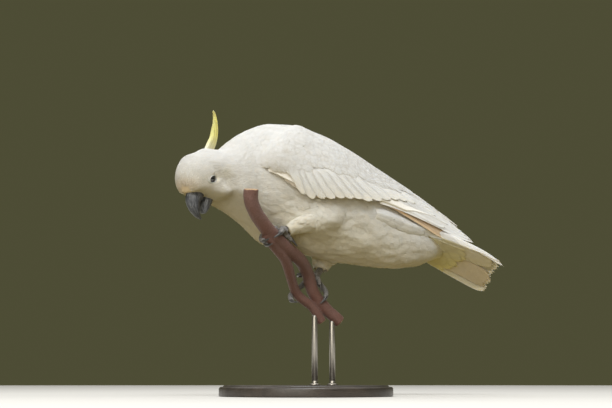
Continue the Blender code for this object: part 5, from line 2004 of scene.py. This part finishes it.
def make_stage():
    """The floor, the light from all round, two soft lights from above and in front, and the camera."""
    scene = bpy.context.scene
    scene.view_settings.view_transform = "Standard"
    scene.view_settings.look = "None"
    make_floor()
    make_air()
    for name, place, aim, size, power, colour in LIGHTS:
        light = bpy.data.lights.new(name, "AREA")
        light.shape = "RECTANGLE"
        light.size, light.size_y = size
        light.energy = power * scene.cockatoo_colours.light
        light.color = colour
        place_and_aim(name, light, place, aim).visible_camera = False
    level = math.cos(CAMERA_RISE)
    back = Vector((math.sin(CAMERA_TURN) * level, -math.cos(CAMERA_TURN) * level, math.sin(CAMERA_RISE)))
    data = bpy.data.cameras.new("camera")
    data.sensor_width = SENSOR
    data.lens = SENSOR / 2 / math.tan(CAMERA_VIEW / 2)
    data.clip_start = 0.05
    scene.camera = place_and_aim("camera", data, CAMERA_AIM + back * CAMERA_AWAY, CAMERA_AIM)


# ------------------------------------------------------------------ settings

def colour_setting(name, description, default):
    """One colour of the panel."""
    return bpy.props.FloatVectorProperty(
        name=name, description=description, default=default, subtype="COLOR", size=3, min=0, max=1)


def size_setting(name, description, default, high):
    """One size of the panel, in metres, up to the highest."""
    return bpy.props.FloatProperty(
        name=name, description=description, default=default, min=0, max=high, unit="LENGTH", precision=4)


class COCKATOO_PG_colours(bpy.types.PropertyGroup):
    white: colour_setting("White", "Plumage of the back, wings and head", (0.86, 0.835, 0.795))
    underside_painted_shade: colour_setting("Cream", "Plumage of the belly and flanks", (0.82, 0.745, 0.57))
    # cream is painted warm shade of the body's underside
    yellow: colour_setting("Yellow", "Wash on the cheeks and under the tail", (0.84, 0.74, 0.26))
    peach: colour_setting("Peach", "Stain on the forehead beside the bill", (0.8, 0.6, 0.42))
    # tan is painted shade, for feathers that lie in shadow under and behind the wings and on the tail's far
    # half
    shade: colour_setting("Tan", "Inner sides of the flight feathers", (0.66, 0.44, 0.25))
    crest: colour_setting("Crest", "Long plumes of the crest", (0.88, 0.82, 0.3))
    bill: colour_setting("Bill", "Horn of the bill", (0.04, 0.044, 0.054))
    eye_skin: colour_setting("Eye skin", "Bare skin round the eye", (0.6, 0.59, 0.56))
    foot: colour_setting("Feet", "Scaly skin of the feet", (0.16, 0.155, 0.155))
    bark: colour_setting("Bark", "Bark of the branch", (0.17, 0.076, 0.058))
    base: colour_setting("Base", "Wood of the base", (0.03, 0.024, 0.02))
    rod: colour_setting("Rods", "Metal of the rods", (0.3, 0.28, 0.25))
    floor: colour_setting("Floor", "Studio floor", (0.72, 0.71, 0.69))
    sky: colour_setting("Sky", "Light from overhead", (0.76, 0.75, 0.72))
    air: colour_setting("Air", "Backdrop and level light", (0.05, 0.049, 0.024))
    ground: colour_setting("Ground", "Light from below", (0.23, 0.18, 0.065))
    light: bpy.props.FloatProperty(
        name="Light", description="Strength of the studio lights", default=1.0, min=0)


class COCKATOO_PG_sizes(bpy.types.PropertyGroup):
    coat: size_setting("Coat depth", "How far the skin lies under the plumage of the body", 3 * MM, 0.02)
    eye_ball: size_setting("Eyeball", "Width of an eyeball", 12 * MM, 0.02)
    eye_ring: size_setting("Eye ring", "Width of the bare skin round an eye", 15 * MM, 0.03)


class Step:
    """An operator that makes its pieces when it is run"""
    bl_options = {"REGISTER", "UNDO"}

    def execute(self, context):
        self.make()
        return {"FINISHED"}


class COCKATOO_OT_stage(Step, bpy.types.Operator):
    """Makes the floor, the lights and the camera"""
    bl_idname = "cockatoo.stage"
    bl_label = "Stage"

    def make(self):
        make_stage()


class COCKATOO_OT_skin(Step, bpy.types.Operator):
    """Makes the skin under the plumage"""
    bl_idname = "cockatoo.skin"
    bl_label = "Skin"

    def make(self):
        make_skin(sizes().coat)


class COCKATOO_OT_plumage(Step, bpy.types.Operator):
    """Lays the small feathers of the head, neck, body and legs"""
    bl_idname = "cockatoo.plumage"
    bl_label = "Plumage"

    def make(self):
        contour_coat()
        finish = plumage_finish("thigh_plumage")
        for side in THIGHS:
            thigh_coat(side, finish)


class COCKATOO_OT_wings(Step, bpy.types.Operator):
    """Makes both folded wings and lays their feathers"""
    bl_idname = "cockatoo.wings"
    bl_label = "Wings"

    def make(self):
        finish = plumage_finish("wing_plumage")
        under = skin_finish()
        for side in ("left", "right"):
            wing_coat(side, finish)
            wing_core(side, under)
        saddle_coat(finish, under)


class COCKATOO_OT_tail(Step, bpy.types.Operator):
    """Makes the tail feathers and the coverts at their roots"""
    bl_idname = "cockatoo.tail"
    bl_label = "Tail"

    def make(self):
        tail_coat(plumage_finish("tail_plumage"))


class COCKATOO_OT_crest(Step, bpy.types.Operator):
    """Makes the crest's long plumes"""
    bl_idname = "cockatoo.crest"
    bl_label = "Crest"

    def make(self):
        crest_coat(plumage_finish("crest_plumage", 0.5))


class COCKATOO_OT_face(Step, bpy.types.Operator):
    """Makes the bill, the cere and the eyes"""
    bl_idname = "cockatoo.face"
    bl_label = "Bill and eyes"

    def make(self):
        bill = picked("bill")
        make_bill(bill_finish(bill), bill_finish(times(bill, 1.7)))
        make_cere(lid_finish((0.07, 0.07, 0.075)))
        wet, bare = eye_finish(), lid_finish(picked("eye_skin"))
        for name, side in (("left", 1), ("right", -1)):
            make_eyeball(name, side, wet)
            make_lids(name, side, bare)


class COCKATOO_OT_feet(Step, bpy.types.Operator):
    """Makes the feet and claws"""
    bl_idname = "cockatoo.feet"
    bl_label = "Feet"

    def make(self):
        skin, horn = foot_finish(picked("foot")), claw_finish()
        for side, rows in THIGHS.items():
            make_foot(side, np.array(rows[-1][:3]) * MM, skin, horn)


class COCKATOO_OT_perch(Step, bpy.types.Operator):
    """Makes the cut branch"""
    bl_idname = "cockatoo.perch"
    bl_label = "Branch"

    def make(self):
        make_perch(bark_finish(picked("bark")))


class COCKATOO_OT_stand(Step, bpy.types.Operator):
    """Makes the display stand"""
    bl_idname = "cockatoo.stand"
    bl_label = "Stand"

    def make(self):
        make_stand(base_finish(picked("base")), rod_finish(picked("rod")))


STEPS = (COCKATOO_OT_stage, COCKATOO_OT_skin, COCKATOO_OT_plumage, COCKATOO_OT_wings, COCKATOO_OT_tail,
         COCKATOO_OT_crest, COCKATOO_OT_face, COCKATOO_OT_feet, COCKATOO_OT_perch, COCKATOO_OT_stand)


class COCKATOO_PT_panel(bpy.types.Panel):
    """Sizes, colours and the steps that make the bird"""
    bl_idname = "COCKATOO_PT_panel"
    bl_label = "Perched cockatoo"
    bl_space_type = "VIEW_3D"
    bl_region_type = "UI"
    bl_category = "Cockatoo"

    def draw(self, context):
        for group in (context.scene.cockatoo_sizes, context.scene.cockatoo_colours):
            for name in group.__annotations__:
                self.layout.prop(group, name)
        for step in STEPS:
            self.layout.operator(step.bl_idname)


CLASSES = (COCKATOO_PG_colours, COCKATOO_PG_sizes, *STEPS, COCKATOO_PT_panel)


def register():
    for item in CLASSES:
        bpy.utils.register_class(item)
    bpy.types.Scene.cockatoo_colours = bpy.props.PointerProperty(type=COCKATOO_PG_colours)
    bpy.types.Scene.cockatoo_sizes = bpy.props.PointerProperty(type=COCKATOO_PG_sizes)


def unregister():
    del bpy.types.Scene.cockatoo_sizes
    del bpy.types.Scene.cockatoo_colours
    for item in reversed(CLASSES):
        bpy.utils.unregister_class(item)


def main():
    register()
    for step in STEPS:
        group, name = step.bl_idname.split(".")
        getattr(getattr(bpy.ops, group), name)()


if __name__ == "__main__":
    main()
